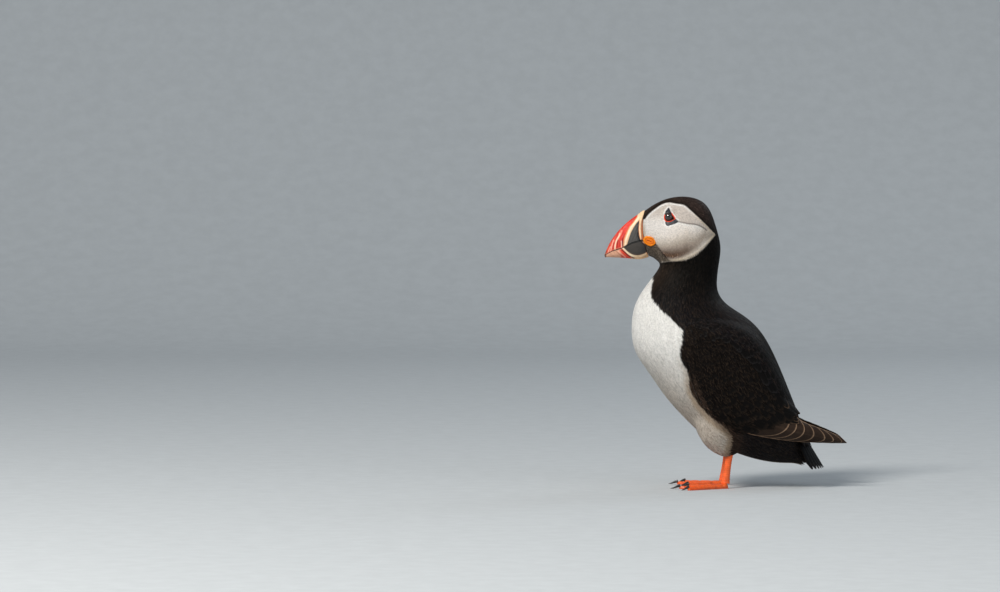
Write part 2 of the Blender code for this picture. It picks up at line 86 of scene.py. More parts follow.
BILL_RIBS = (
    (-60.7, 204.2, -57.0, 170.3, 7.9, 0.30, 0.80),
    (-67.3, 200.3, -62.9, 168.7, 7.2, 0.30, 0.80),
    (-74.0, 195.1, -69.6, 168.9, 6.1, 0.30, 0.80),
    (-79.9, 189.2, -76.2, 169.5, 4.9, 0.28, 0.80),
    (-84.7, 182.8, -82.1, 169.8, 3.5, 0.25, 0.85),
    (-87.8, 176.9, -86.9, 170.0, 2.1, 0.20, 0.90),
    (-89.9, 171.8, -89.6, 169.9, 0.9, 0.0, 1.0),
)
# The closed wings lie on a hull that starts at the body's tenth rib and leaves the body behind the rump. As
# far as there it shares the body's ribs, and HULL_SIDES gives their half widths, shares and roundness.
WING_START = 9
HULL_SIDES = (
    (28.3, 0.0, 1.0), (34.2, 0.0, 0.95), (40.5, 0.0, 0.9), (44.8, 0.03, 0.88),
    (46.8, 0.05, 0.88), (46.3, 0.05, 0.88), (44.0, 0.05, 0.85),
)
WING_RIBS = (
    *(rib[:4] + side for rib, side in zip(BODY_RIBS[WING_START:], HULL_SIDES)),
    (50.2, 66.6, -14.8, 39.0, 40.5, 0.0, 0.8),
    (59.2, 54.8, 12.8, 34.5, 36.0, 0.0, 0.7),
    (68.8, 49.6, 38.5, 31.8, 30.5, 0.0, 0.6),
    (78.4, 44.4, 60.7, 31.1, 24.0, 0.0, 0.55),
    (86.6, 39.2, 79.9, 31.1, 18.5, 0.0, 0.55),
    (90.4, 34.8, 89.0, 31.8, 15.0, 0.0, 0.6),
)
WING_AT = (2.35, 2.6, 3.0, 3.5, 4.25, 5.0, 6.0, 7.0, 8.0, 9.5, 11.0, 11.95)
WING_TOP = (86.0, 74.0, 62.0, 53.0, 45.0, 41.0, 38.0, 37.0, 38.0, 40.0, 42.0, 60.0)
WING_BOTTOM = (98.0, 101.5, 106.0, 110.5, 114.5, 121.0, 124.5, 123.0, 128.0, 138.0, 138.0, 120.0)

TRUNK_RADIUS = 42.0  # so many mm round the trunk are one radian
WING_HEIGHT = 3.5  # how far a closed wing stands off the body

LEG_OUT = 19.5
THIGH_PATH = ((-9.5, 55.0, 13.0), (-8.0, 46.0, 14.5), (-5.5, 37.5, 12.0), (-1.0, 31.0, 8.5), (2.5, 26.5, 5.4))
ANKLE, BALL = (2.6, 29.5), (-1.0, 4.5)
TOES = {"inner": (-27.0, 31.0, 5.5), "middle": (0.0, 37.0, 6.0), "outer": (24.0, 36.0, 5.5)}
FOOT_TURN, HEEL_RADIUS, WEB_NOTCH = 8.0, 3.2, 0.17
JOINTS = (0.34, 0.62, 0.84)  # where each toe bends, as shares of its length
TAIL_ROOT, TAIL_TIP = (52.5, 48.1), (73.0, 14.7)
TAIL_HALF_ROOT, TAIL_HALF_TIP, TAIL_ARCH, TAIL_LONG = 12.0, 25.0, 9.0, 39

# Markings, as outlines and lines in the side view: x, z.
DISC = (
    (-61.5, 196.5), (-60.4, 198.2), (-59.0, 200.0), (-57.2, 202.2), (-54.6, 204.5), (-51.5, 206.8),
    (-48.7, 208.7), (-45.4, 210.1), (-42.2, 210.6), (-39.3, 210.2), (-36.4, 209.7), (-33.2, 209.3),
    (-30.4, 208.2), (-26.9, 205.1), (-22.9, 201.5), (-18.2, 197.1), (-13.5, 192.6), (-10.7, 189.6),
    (-8.5, 187.3), (-9.6, 185.4), (-12.1, 182.8), (-14.5, 180.2), (-17.3, 177.3), (-20.1, 175.0),
    (-22.9, 172.9), (-25.7, 171.2), (-28.5, 169.9), (-32.3, 168.8), (-37.0, 168.1), (-41.7, 167.6),
    (-46.4, 167.0), (-49.2, 166.7), (-53.0, 172.0), (-57.0, 178.5), (-61.0, 186.0),
)
CREASE = ((-38.2, 197.9), (-36.6, 197.0), (-33.0, 196.2), (-29.0, 195.5), (-24.5, 195.0),
          (-20.5, 194.0), (-17.4, 192.2), (-15.0, 190.4))
UPPER_PLATE = ((-46.0, 202.0), (-45.4, 203.3), (-44.9, 204.6), (-44.0, 205.6), (-43.0, 207.1), (-42.1, 206.0),
               (-41.6, 204.3), (-41.0, 203.2), (-40.2, 202.1), (-41.1, 202.4), (-42.5, 202.7), (-43.9, 202.3),
               (-44.9, 201.6))
LOWER_PLATE = ((-45.4, 196.8), (-44.2, 196.5), (-42.6, 196.4), (-41.1, 196.8), (-39.1, 198.0), (-37.9, 198.9),
               (-35.7, 196.9), (-37.3, 195.8), (-39.2, 195.0), (-41.4, 194.3), (-43.7, 193.5), (-44.8, 194.0),
               (-45.4, 195.3))
LID_RING = (  # x and z from the eye's middle
    (3.6, 0.1), (2.5, 1.7), (1.3, 3.1), (-0.3, 3.6), (-1.9, 3.1), (-3.0, 1.7), (-3.5, 0.1), (-3.2, -1.7),
    (-2.3, -2.95), (-1.0, -3.3), (1.0, -3.15), (3.0, -2.3), (4.1, -1.35),
)
ROSETTE = (-57.0, 182.2)
CHIN_LINE = ((-52.5, 180.2), (-50.6, 177.6), (-48.4, 174.6), (-46.0, 171.6), (-44.9, 170.4))
CHIN = ((-58.5, 181.0), (-52.5, 180.2), (-50.6, 177.6), (-48.4, 174.6), (-46.0, 171.6), (-43.8, 169.2),
        (-42.2, 168.2), (-48.0, 167.2), (-52.0, 163.0), (-62.0, 163.0), (-62.0, 181.0))
CHEEK_SHADE = ((-46.0, 172.0), (-40.0, 171.6), (-34.0, 172.8), (-28.0, 175.8), (-22.0, 181.0), (-17.0, 186.0))
# Painted shade on the cheek's lower side, with a little of the cheek's own duskier tone in it: how dark it is
# along x, and how far it fades upwards and downwards.
CHEEK_SHADE_AT, CHEEK_SHADE_DARK = (-46.0, -38.0, -30.0, -22.0, -15.0), (1.0, 1.0, 0.93, 0.66, 0.52)
CHEEK_SHADE_UP, CHEEK_SHADE_DOWN = (8.5, 10.0, 10.5, 5.7, 5.0), (3.9, 4.2, 3.8, 6.0, 3.5)
UNDER = (
    (-54.2, 156.6), (-53.2, 154.4), (-54.6, 149.8), (-55.4, 144.8), (-54.9, 141.6), (-53.0, 138.2),
    (-47.4, 132.0), (-43.6, 129.0), (-40.0, 125.1), (-34.4, 119.5), (-34.6, 111.0), (-36.0, 106.0),
    (-36.4, 99.0), (-34.8, 94.5), (-31.5, 90.5), (-29.8, 85.1), (-30.0, 79.9), (-28.1, 73.3),
    (-22.9, 64.4), (-18.8, 60.0), (-12.8, 54.4), (-6.8, 50.0), (-0.5, 44.4), (2.6, 39.6),
    (2.4, 34.4), (0.6, 27.4), (-1.0, 12.0), (-120.0, 12.0), (-120.0, 156.6),
)


def srgb(red, green, blue):
    """A colour given as 0 to 255 on a screen, made linear."""
    share = np.array([red, green, blue]) / 255
    return np.where(share <= 0.04045, share / 12.92, ((share + 0.055) / 1.055) ** 2.4)


def step(value, start, end):
    """0 before start, 1 after end, and a smooth climb between."""
    share = np.clip((value - start) / (end - start), 0, 1)
    return share * share * (3 - 2 * share)


def mix(first, second, share):
    """A blend of two colours or sets of colours by a share for each place."""
    share = np.asarray(share)[..., None]
    return first * (1 - share) + second * share


def hump(value, width, power=2):
    """1 where the value is 0, falling off smoothly to both sides over the width."""
    return np.exp(-((value / width) ** power))


def circle(count):
    """The angles of count places spread evenly round a circle."""
    return np.linspace(0, 2 * np.pi, count, endpoint=False)


def height_of(line, x):
    """The height at x of a line that runs along the side view."""
    return np.interp(x, *np.transpose(line))


def spline(knots, values, at):
    """The natural cubic curve through the values at the knots, read at the places in at."""
    knots, values, at = (np.asarray(a, float) for a in (knots, values, at))
    count, gap = len(knots), np.diff(knots)
    system, right = np.eye(count), np.zeros_like(values)
    for i in range(1, count - 1):
        system[i, i - 1 : i + 2] = gap[i - 1], 2 * (gap[i - 1] + gap[i]), gap[i]
        right[i] = 6 * ((values[i + 1] - values[i]) / gap[i] - (values[i] - values[i - 1]) / gap[i - 1])
    bend = np.linalg.solve(system, right)
    k = np.clip(np.searchsorted(knots, at) - 1, 0, count - 2)
    before, after, wide = at - knots[k], knots[k + 1] - at, gap[k]
    if values.ndim > 1:
        before, after, wide = before[..., None], after[..., None], wide[..., None]
    curve = (bend[k] * after**3 + bend[k + 1] * before**3) / (6 * wide)
    near, far = (values[i] / wide - bend[i] * wide / 6 for i in (k, k + 1))
    return curve + near * after + far * before


def rounded(outline, count):
    """A closed outline drawn as a smooth curve of count points through its corners."""
    corners = np.tile(np.asarray(outline, float), (3, 1))
    size = len(outline)
    return spline(np.arange(3 * size), corners, np.linspace(size, 2 * size, count, endpoint=False))


def softened(outline, rounds=2):
    """A closed outline with its corners cut twice or more, which never leaves the outline it starts from."""
    for _ in range(rounds):
        near, far = np.asarray(outline, float), np.roll(outline, -1, axis=0)
        outline = np.stack([0.75 * near + 0.25 * far, 0.25 * near + 0.75 * far], 1).reshape(-1, 2)
    return outline


def drawn(line, count):
    """An open line drawn as a smooth curve of count points."""
    line = np.asarray(line, float)
    return spline(np.arange(len(line)), line, np.linspace(0, len(line) - 1, count))


def line_distance(x, z, line):
    """The distance from each place to the nearest point of a line in the side view."""
    best = np.full(np.shape(x), np.inf)
    for (ax, az), (bx, bz) in zip(line, line[1:]):
        run, rise = bx - ax, bz - az
        share = np.clip(((x - ax) * run + (z - az) * rise) / (run * run + rise * rise), 0, 1)
        best = np.minimum(best, (x - ax - share * run) ** 2 + (z - az - share * rise) ** 2)
    return np.sqrt(best)


def within(x, z, outline):
    """The distance from each place to a closed outline, counted positive inside it.
    A place is inside when a level ray from it crosses the outline an odd number of times."""
    ring = np.vstack([outline, outline[:1]])
    odd = np.zeros(np.shape(x), bool)
    for (ax, az), (bx, bz) in zip(ring, ring[1:]):
        if az != bz:
            odd ^= ((az > z) != (bz > z)) & (x < ax + (z - az) / (bz - az) * (bx - ax))
    return line_distance(x, z, ring) * np.where(odd, 1, -1)


DISC_EDGE = rounded(DISC, 105)
UPPER_PLATE_EDGE, LOWER_PLATE_EDGE = softened(UPPER_PLATE), softened(LOWER_PLATE)
UNDER_EDGE, LID_EDGE = np.array(UNDER), rounded(LID_RING, 140)
CREASE_LINE, CHIN_EDGE = drawn(CREASE, 24), drawn(CHIN_LINE, 16)


def loft(ribs, t, turn):
    """Points of a loft at rib number t and angle turn, from 0 at the back through +Y to pi at the front.
    Each point is the rib's middle plus half the rib times the cosine, and the half width times a power
    of the sine to the side."""
    back_x, back_z, front_x, front_z, half, full, flat = np.moveaxis(spline(range(len(ribs)), ribs, t), -1, 0)
    along, across = np.cos(turn), np.sin(turn)
    x = (back_x + front_x) / 2 + (back_x - front_x) / 2 * along
    z = (back_z + front_z) / 2 + (back_z - front_z) / 2 * along
    y = half * np.sign(across) * np.abs(across) ** flat * (1 - full * along)
    return np.stack([x, y, z], axis=-1)


def unit(vectors):
    """The same vectors at length one."""
    return vectors / np.maximum(np.linalg.norm(vectors, axis=-1, keepdims=True), 1e-12)


class Sheet:
    """A surface known on a grid of two parameters, u along it and v across or round it.
    Between grid points it is the average of the four nearest, weighed by nearness."""

    def __init__(self, u, v, points, closed=False):
        self.u, self.v, self.closed = u, v, closed
        along, across = np.gradient(points, axis=0), np.gradient(points, axis=1)
        if closed:
            across[:, 0] = across[:, -1] = (across[:, 0] + across[:, -1]) / 2
        normal = unit(np.cross(along, across))
        along = along / np.gradient(u)[:, None, None]
        across = across / np.gradient(v)[None, :, None]
        self.points, self.normals = points, normal
        self.area = np.linalg.norm(np.cross(along, across), axis=-1)
        self.known = np.concatenate([points, normal, along, across], axis=-1)

    def read(self, u, v):
        """Points, normals, and the steps of the point for one unit of u and of v."""
        if self.closed:
            v = np.mod(v, self.v[-1])
        i = np.interp(u, self.u, np.arange(len(self.u)))
        k = np.interp(v, self.v, np.arange(len(self.v)))
        i0 = np.minimum(i.astype(int), len(self.u) - 2)
        k0 = np.minimum(k.astype(int), len(self.v) - 2)
        fi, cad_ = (i - i0)[..., None], (k - k0)[..., None]
        near = self.known[i0, k0] * (1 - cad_) + self.known[i0, k0 + 1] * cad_
        far = self.known[i0 + 1, k0] * (1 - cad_) + self.known[i0 + 1, k0 + 1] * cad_
        both = near * (1 - fi) + far * fi
        return both[..., :3], unit(both[..., 3:6]), both[..., 6:9], both[..., 9:12]

    def walk(self, u, v, ahead, aside):
        """The parameters reached by going ahead along u's direction, and aside to its left, in mm."""
        _, normal, along, across = self.read(u, v)
        forward = unit(along)
        left = np.cross(normal, forward)
        dv = aside / np.sum(across * left, axis=-1)
        du = (ahead - np.sum(across * forward, axis=-1) * dv) / np.linalg.norm(along, axis=-1)
        return np.clip(u + du, self.u[0], self.u[-1]), v + dv


def wing_edges(t):
    """The wing's upper and lower edge on its hull, as angles from the back."""
    at = np.clip(t, WING_AT[0], WING_AT[-1])
    return tuple(np.radians(spline(WING_AT, edge, at)) for edge in (WING_TOP, WING_BOTTOM))


def from_back(turn):
    """The angle from the back, alike on both sides."""
    return np.abs((turn + np.pi) % (2 * np.pi) - np.pi)


def wing_rise(t, turn):
    """How far the closed wing lifts the plumage off the body: the hull's height inside the wing's outline,
    with rounded edges, fading where the wing leaves the body."""
    on_wing = t - WING_START
    top, bottom = wing_edges(on_wing)
    folded = from_back(turn)
    above = step((folded - top) * TRUNK_RADIUS, -20.0, 2.0)
    below = step((bottom - folded) * TRUNK_RADIUS, -0.8, 2.8)
    span = step(on_wing, WING_AT[0] - 1.5, WING_AT[0] + 0.25) * (1 - step(on_wing, 6.9, 7.8))
    return WING_HEIGHT * above * below * span


def thigh_rise(points, normals):
    """How far each thigh pushes the body's surface out: the longest way along the normal that still ends
    inside one of the balls strung along the thigh."""
    path = spline(range(len(THIGH_PATH)), THIGH_PATH, np.linspace(0, len(THIGH_PATH) - 1, 24))
    rise = np.zeros(points.shape[:-1])
    for lift in np.arange(0.5, 17.0, 0.5):
        place = points + normals * lift
        aside = (np.abs(place[..., 1]) - LEG_OUT) / 0.86
        for x, z, radius in path:
            reach = (place[..., 0] - x) ** 2 + (place[..., 2] - z) ** 2 + aside**2
            rise = np.where(reach < radius**2, lift, rise)
    for _ in range(3):
        wide = np.pad(rise, ((1, 1), (0, 0)), mode="edge")
        rise = (wide[:-2] + 2 * rise + wide[2:]) / 4
        rise = (np.roll(rise, 1, axis=1) + 2 * rise + np.roll(rise, -1, axis=1)) / 4
    return rise


def lid_plane(x, z, eye):
    """How far out the ring of the lids lies: a plane that leans with the face."""
    return eye[1] + 2.59 + 0.197 * (x - eye[0]) - 0.232 * (z - eye[2])


def face_rise(points, eye):
    """The face's own relief: it sinks to the ring of the lids and dips for the eye inside it. Behind the eye
    are the furrow, the full cheek under it, and the disc's slightly raised edge."""
    x, y, z = np.moveaxis(points, -1, 0)
    beside = step(np.abs(y), 5.0, 9.0) * (z > 150)
    ring = within(x - eye[0], z - eye[2], LID_EDGE)
    meet = np.clip(lid_plane(x, z, eye) - 0.1 - np.abs(y), -1.8, 0.4)
    lid = meet * hump(np.minimum(ring, 0), 2.1) - 1.6 * step(ring, -0.4, 1.0)
    crease = line_distance(x, z, CREASE_LINE)
    below = np.hypot(x + 26.0, (z - 186.0) * 1.25)
    cheek = 0.9 * hump(below, 15.0) - 0.4 * hump(crease, 1.1)
    edge = within(x, z, DISC_EDGE)
    rim = 0.35 * hump(edge - 0.7, 0.7)
    brow = 0.5 * np.exp(-(((x - eye[0]) / 7.0) ** 2) - ((z - eye[2] - 7.5) / 2.2) ** 2)
    return beside * (lid + cheek + rim + brow)


def bow(points, t, turn, amount, reach):
    """Moves the sides of a loft's first ribs forwards, so that the bill's base is a curve."""
    share = np.clip(1 - t / reach, 0, 1) ** 1.5 * np.abs(np.sin(turn)) ** 1.5
    points[..., 0] -= amount * share
    return points


def make_body_sheet(eye):
    """The outer surface of the laid plumage over head, neck, trunk, thighs and closed wings."""
    t = np.concatenate([np.linspace(0, 7.5, 230), np.linspace(7.5, BODY_END + 1, 225)[1:]])
    turn = np.linspace(0, 2 * np.pi, 361)
    points = bow(loft(BODY_RIBS, t[:, None], turn), t[:, None], turn, 2.6, 1.6)
    plain = Sheet(t, turn, points, closed=True)
    rise = wing_rise(t[:, None], turn) + face_rise(points, eye)
    # The thighs' rise is worked out on a coarse grid and read between its points.
    coarse_t, coarse_turn = np.linspace(12.5, 19, 60), np.linspace(0, 2 * np.pi, 121)
    place, normal, _, _ = plain.read(*np.meshgrid(coarse_t, coarse_turn, indexing="ij"))
    thigh = thigh_rise(place, normal)
    i = np.clip(np.interp(t, coarse_t, np.arange(60.0)), 0, 58.999)
    i0, share = i.astype(int), (i % 1)[:, None]
    by_t = thigh[i0] * (1 - share) + thigh[i0 + 1] * share
    by_t[(t < coarse_t[0]) | (t > coarse_t[-1])] = 0
    fine = np.stack([np.interp(turn, coarse_turn, row) for row in by_t])
    raised = np.maximum(rise, 0) + fine * (1 - np.clip(rise / WING_HEIGHT, 0, 1))
    rise = np.where(fine > 0.02, raised, rise)
    return Sheet(t, turn, points + plain.normals * rise[..., None], closed=True)


def make_wing_sheet():
    """The right wing's outer surface: u is the hull's rib number, and v runs from the upper edge, 0,
    to the lower edge, 1, and a little past both."""
    u = np.linspace(WING_AT[0] - 0.1, WING_AT[-1], 200)
    v = np.linspace(-0.25, 1.25, 61)
    top, bottom = wing_edges(u)
    turn = top[:, None] * (1 - v) + bottom[:, None] * v
    return Sheet(u, v, loft(WING_RIBS, u[:, None], turn))


def make_tail_sheet():
    """The tail's upper surface, an arched fan: u from root to tip, v from left to right."""
    root, tip = np.array(TAIL_ROOT), np.array(TAIL_TIP)
    back = (tip - root) / np.linalg.norm(tip - root)
    u, v = np.linspace(-0.15, 1.05, 60), np.linspace(-1.05, 1.05, 61)
    share = u[:, None]
    reach = share * np.linalg.norm(tip - root)
    drop = TAIL_ARCH * v**2 * (0.45 + 0.55 * share)
    y = v * (TAIL_HALF_ROOT + (TAIL_HALF_TIP - TAIL_HALF_ROOT) * share)
    x, z = root[0] + back[0] * reach + back[1] * drop, root[1] + back[1] * reach - back[0] * drop
    return Sheet(u, v, np.stack([x, y, z], -1))


def eye_place():
    """The right eyeball's middle and radius, from its solid, in mm."""
    low, high = (np.array(corner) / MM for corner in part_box("eye_right"))
    return (low + high) / 2, float((high - low).max() / 2)


EYE, EYE_RADIUS = eye_place()
BODY = make_body_sheet(EYE)
WING = make_wing_sheet()
TAIL = make_tail_sheet()


def on_head(x, z):
    """Body parameters of places on the right side of the head: the nearest grid point's, corrected by two
    linear steps."""
    rows = np.where((BODY.u > 0.2) & (BODY.u < 5.5))[0]
    columns = np.where((BODY.v > 0.3) & (BODY.v < 2.7))[0]
    patch = BODY.points[np.ix_(rows, columns)].reshape(-1, 3)
    flat_x, flat_z = np.ravel(x), np.ravel(z)
    near = [np.argmin((patch[:, 0] - a) ** 2 + (patch[:, 2] - b) ** 2) for a, b in zip(flat_x, flat_z)]
    row, column = np.divmod(near, len(columns))
    u, v = BODY.u[rows[row]], BODY.v[columns[column]]
    for _ in range(2):
        place, _, along, across = BODY.read(u, v)
        miss_x, miss_z = flat_x - place[:, 0], flat_z - place[:, 2]
        scale = along[:, 0] * across[:, 2] - across[:, 0] * along[:, 2]
        u = u + (miss_x * across[:, 2] - across[:, 0] * miss_z) / scale
        v = v + (along[:, 0] * miss_z - along[:, 2] * miss_x) / scale
    return u.reshape(np.shape(x)), v.reshape(np.shape(x))


# Colours of the plumage.
# FACE_SHADE is the colour of the painted shade on the cheek's lower side.
WHITE, FACE, FACE_SHADE = srgb(238, 235, 229), srgb(234, 225, 216), srgb(84, 64, 51)
FACE_FRONT, FACE_BACK = srgb(229, 222, 215), srgb(202, 189, 178)
EDGE_WHITE, EDGE_CREAM = srgb(248, 245, 240), srgb(206, 188, 162)
CHIN_GREY, LINE_DARK = srgb(80, 71, 62), srgb(38, 30, 28)
CROWN, NECK, BACK_BLACK, WING_BLACK = srgb(42, 33, 30), srgb(8, 7, 6), srgb(13, 12, 14), srgb(8, 6, 5)
# BELLY_GREY is painted shade low on the belly, with some soiled plumage in it.
FLANK, BELLY_GREY, FRINGE = srgb(46, 35, 28), srgb(168, 150, 130), srgb(150, 122, 98)


def plumage(points):
    """The plumage's colour at each place. The side view is split by named outlines, and tones inside them
    follow the distance to their edges."""
    x, y, z = np.moveaxis(points, -1, 0)
    beside = np.abs(y)
    high = step(z, 120, 160)
    tone = mix(BACK_BLACK, NECK, high)
    tone = mix(tone, CROWN, step(z, 178, 205))
    # A lighter brown on the front of the neck: painted sheen.
    tone = mix(tone, srgb(46, 36, 29), 0.55 * step(-x, 26, 44) * step(z, 128, 140) * step(-beside, -26, -8))
    # White underparts, greyer and browner low down, with a dusky flank behind them. The grey low down and
    # along the white's edge is painted shade with some soiled plumage in it, and the darker brown at the
    # white's rear edge low down is painted shade on the back of the thigh.
    under = within(x, z, UNDER_EDGE)
    flank = step(-under, 14.0, 2.0) * step(z, 96, 82) * (z < 100) * step(x, 20, 6)
    tone = mix(tone, FLANK, 0.85 * np.clip(flank, 0, 1))
    low = step(-z - 0.55 * x, -84, -34)
    edge = hump(under - 1.0, 2.6) * step(-z, -104, -84)
    white = np.array(bpy.context.scene.puffin_plumage.white)
    belly = mix(white, BELLY_GREY, np.clip(0.75 * low + 0.55 * edge, 0, 1))
    belly = mix(belly, srgb(104, 88, 72), 0.75 * hump(np.maximum(under, 0), 3.6) * step(-z, -56, -44))
    under_white = step(under, -0.6, 0.6)
    keel = step(-beside, -6.0, -3.0) * step(x, 0, 6) * (z < 40)  # white under the tail's root
    tone = mix(tone, belly, np.maximum(under_white, keel * 0.9))
    head = z > 158
    if not np.any(head):
        return tone
    # The head: chin, disc with the painted shade on its lower cheek, rim and bare parts' pale edges, and the
    # dark lines.
    hx, hz, shade = x[head], z[head], tone[head]
    chin = within(hx, hz, np.array(CHIN))
    shade = mix(shade, CHIN_GREY, step(chin, -0.5, 0.6))
    disc = within(hx, hz, DISC_EDGE)
    crease = line_distance(hx, hz, CREASE_LINE)
    crease_z = height_of(CREASE, hx)
    above = step(hz - crease_z, -0.2, 0.4) * step(hx, -39, -35)
    disc_tone = mix(FACE, FACE_FRONT, step(-hx, 38, 54))
    disc_tone = mix(disc_tone, FACE_BACK, 0.9 * np.maximum(above, step(hz, 195.5, 204)))
    # Painted shade on the cheek's lower side, darkest along its line and browner in its middle tones.
    cheek_shade_z = height_of(CHEEK_SHADE, hx)
    dark, up, down = (np.interp(hx, CHEEK_SHADE_AT, row) for row in (CHEEK_SHADE_DARK, CHEEK_SHADE_UP, CHEEK_SHADE_DOWN))
    low = dark * hump(hz - cheek_shade_z, np.where(hz > cheek_shade_z, up, down))
    low = low * (1 - above)
    disc_tone = mix(disc_tone, FACE_SHADE, low) * (1 - np.multiply.outer(low * (1 - low), (0.0, 0.2, 0.5)))
    bright = step(-hx, 16, 34) * step(hz, 190, 200)
    rim = hump(disc - 0.75, 0.62)
    rim = rim * (1 - 0.75 * step(-hx, 33, 44) * step(-hz, -176, -170))
    disc_tone = mix(disc_tone, mix(EDGE_CREAM, EDGE_WHITE, bright), 0.85 * rim)
    under_crease = hump(crease_z - hz - 1.3, 0.6) * step(hx, -38, -36) * step(-hx, 16, 20)
    disc_tone = mix(disc_tone, EDGE_WHITE, 0.45 * under_crease)
    edges = UPPER_PLATE_EDGE, LOWER_PLATE_EDGE, LID_EDGE + (EYE[0], EYE[2])
    from_bare = np.maximum(-np.max([within(hx, hz, edge) for edge in edges], axis=0), 0)
    disc_tone = mix(disc_tone, EDGE_WHITE, 0.8 * hump(from_bare - 0.6, 0.6))
    # The dark line along the furrow behind the eye is painted shade; the furrow itself is shallow.
    disc_tone = mix(disc_tone, LINE_DARK, 0.75 * hump(crease, 0.55))
    in_chin = step(chin, -0.5 - step(-hz, -172, -169), 0.5)
    shade = mix(shade, NECK, 0.7 * hump(disc + 0.8, 0.9) * (1 - in_chin))
    shade = mix(shade, disc_tone, step(disc, -0.35, 0.35) * (1 - in_chin))
    shade = mix(shade, LINE_DARK, 0.7 * hump(line_distance(hx, hz, CHIN_EDGE), 0.6))
    tone = np.array(tone)
    tone[head] = shade
    return tone


def put_object(name, data):
    """An object with the given data, in the scene."""
    made = bpy.data.objects.new(name, data)
    bpy.context.scene.collection.objects.link(made)
    return made


def build(name, points, faces, finish, stands_for=(), tint=None, patch=None, maps=None, normals=None):
    """A mesh object from points in mm and arrays of triangles or quads, riding the body.
    tint colours its vertices, patch is a place on the unwrap for each vertex, maps are further maps, and
    normals, if given, are shading directions that let many thin feathers read as one soft surface."""
    points = np.asarray(points, float).reshape(-1, 3)
    faces = [np.asarray(f, int) for f in (faces if isinstance(faces, (list, tuple)) else [faces]) if len(f)]
    mesh = bpy.data.meshes.new(name)
    mesh.vertices.add(len(points))
    mesh.vertices.foreach_set("co", (points * MM).ravel())
    corners = np.concatenate([f.ravel() for f in faces])
    sizes = np.concatenate([np.full(len(f), f.shape[1]) for f in faces])
    mesh.loops.add(len(corners))
    mesh.loops.foreach_set("vertex_index", corners)
    mesh.polygons.add(len(sizes))
    mesh.polygons.foreach_set("loop_start", np.concatenate([[0], np.cumsum(sizes)[:-1]]))
    mesh.update(calc_edges=True)
    mesh.polygons.foreach_set("use_smooth", np.ones(len(sizes), bool))
    if tint is not None:
        layer = mesh.color_attributes.new(name="tint", type="FLOAT_COLOR", domain="POINT")
        rgba = np.ones((len(points), 4))
        rgba[:, :3] = np.clip(np.asarray(tint).reshape(-1, 3), 0, 1)
        layer.data.foreach_set("color", rgba.ravel())
    for title, places in {**({"OFBake": patch} if patch is not None else {}), **(maps or {})}.items():
        layer = mesh.uv_layers.new(name=title)
        places = np.asarray(places).reshape(-1, 2)
        layer.data.foreach_set("uv", (places[corners] if len(places) == len(points) else places).ravel())
    if normals is not None:
        mesh.normals_split_custom_set_from_vertices(np.asarray(normals).reshape(-1, 3))
    mesh.materials.append(finish)
    obj = put_object(name, mesh)
    if stands_for:
        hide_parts(*stands_for)
    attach(obj, "root")
    return obj


def grid_faces(rows, columns, wrap=False):
    """Quads of a grid whose points run along each row. A wrapped grid joins its last column to its first."""
    i, k = np.meshgrid(np.arange(rows - 1), np.arange(columns if wrap else columns - 1), indexing="ij")
    here, after = i * columns + k, i * columns + (k + 1) % columns
    return np.stack([here, here + columns, after + columns, after], -1).reshape(-1, 4)


def closed_tube(rings):
    """Points and faces of a tube through rings of points, with a point in the middle of each end."""
    rows, columns = rings.shape[:2]
    points = np.concatenate([rings.reshape(-1, 3), [rings[0].mean(0)], [rings[-1].mean(0)]])
    k = np.arange(columns)
    after = (k + 1) % columns
    first = np.stack([np.full(columns, rows * columns), k, after], -1)
    last = (rows - 1) * columns
    end = np.stack([np.full(columns, rows * columns + 1), last + after, last + k], -1)
    return points, [grid_faces(rows, columns, wrap=True), first, end]


def outwards(points, faces):
    """The same faces, turned over if the closed shape they bound comes out inside out."""
    volume = 0.0
    for block in faces:
        corner = points[block]
        for i in range(1, block.shape[1] - 1):
            volume += np.einsum("ij,ij->", corner[:, 0], np.cross(corner[:, i], corner[:, i + 1]))
    return faces if volume > 0 else [block[:, ::-1] for block in faces]


def solid_piece(name, points, faces, tone, look, slot, stands_for, mirror=1):
    """A closed piece made for the right side, with its faces turned outwards. mirror -1 puts it left."""
    faces = [block[:, ::mirror] for block in outwards(points, faces)]
    return build(name, points * (1, mirror, 1), faces, finish(look), stands_for, tone)


def tube_piece(name, rings, tone, look, slot, stands_for, mirror=1):
    """A closed tube through rings of points, with colours for the rings, as a piece."""
    tone = np.broadcast_to(tone, rings.shape).reshape(-1, 3)
    tone = np.concatenate([tone, tone[:1], tone[-1:]])
    return solid_piece(name, *closed_tube(rings), tone, look, slot, stands_for, mirror)


# Materials.


def new_material(name):
    """A node material, its tree and its Principled shader."""
    made = bpy.data.materials.new(name)
    made.use_nodes = True
    return made, made.node_tree, made.node_tree.nodes["Principled BSDF"]


def feed(tree, node, inputs):
    """Sets a node's inputs, named by title or number, to constants or to the outputs of other nodes."""
    for title, value in inputs.items():
        if isinstance(value, bpy.types.NodeSocket):
            tree.links.new(value, node.inputs[title])
        else:
            node.inputs[title].default_value = value


def add(tree, kind, inputs=None, **settings):
    """A new shader node with its settings and inputs."""
    node = tree.nodes.new("ShaderNode" + kind)
    for key, value in settings.items():
        setattr(node, key, value)
    feed(tree, node, inputs or {})
    return node


def noise(tree, scale, detail=3.0, stretch=None):
    """Noise on the object's own coordinates, stretched if asked."""
    place = add(tree, "TexCoord").outputs["Object"]
    if stretch:
        place = add(tree, "Mapping", {"Vector": place, "Scale": stretch}).outputs["Vector"]
    inputs = {"Vector": place, "Scale": scale, "Detail": detail, "Roughness": 0.6}
    return add(tree, "TexNoise", inputs).outputs["Fac"]


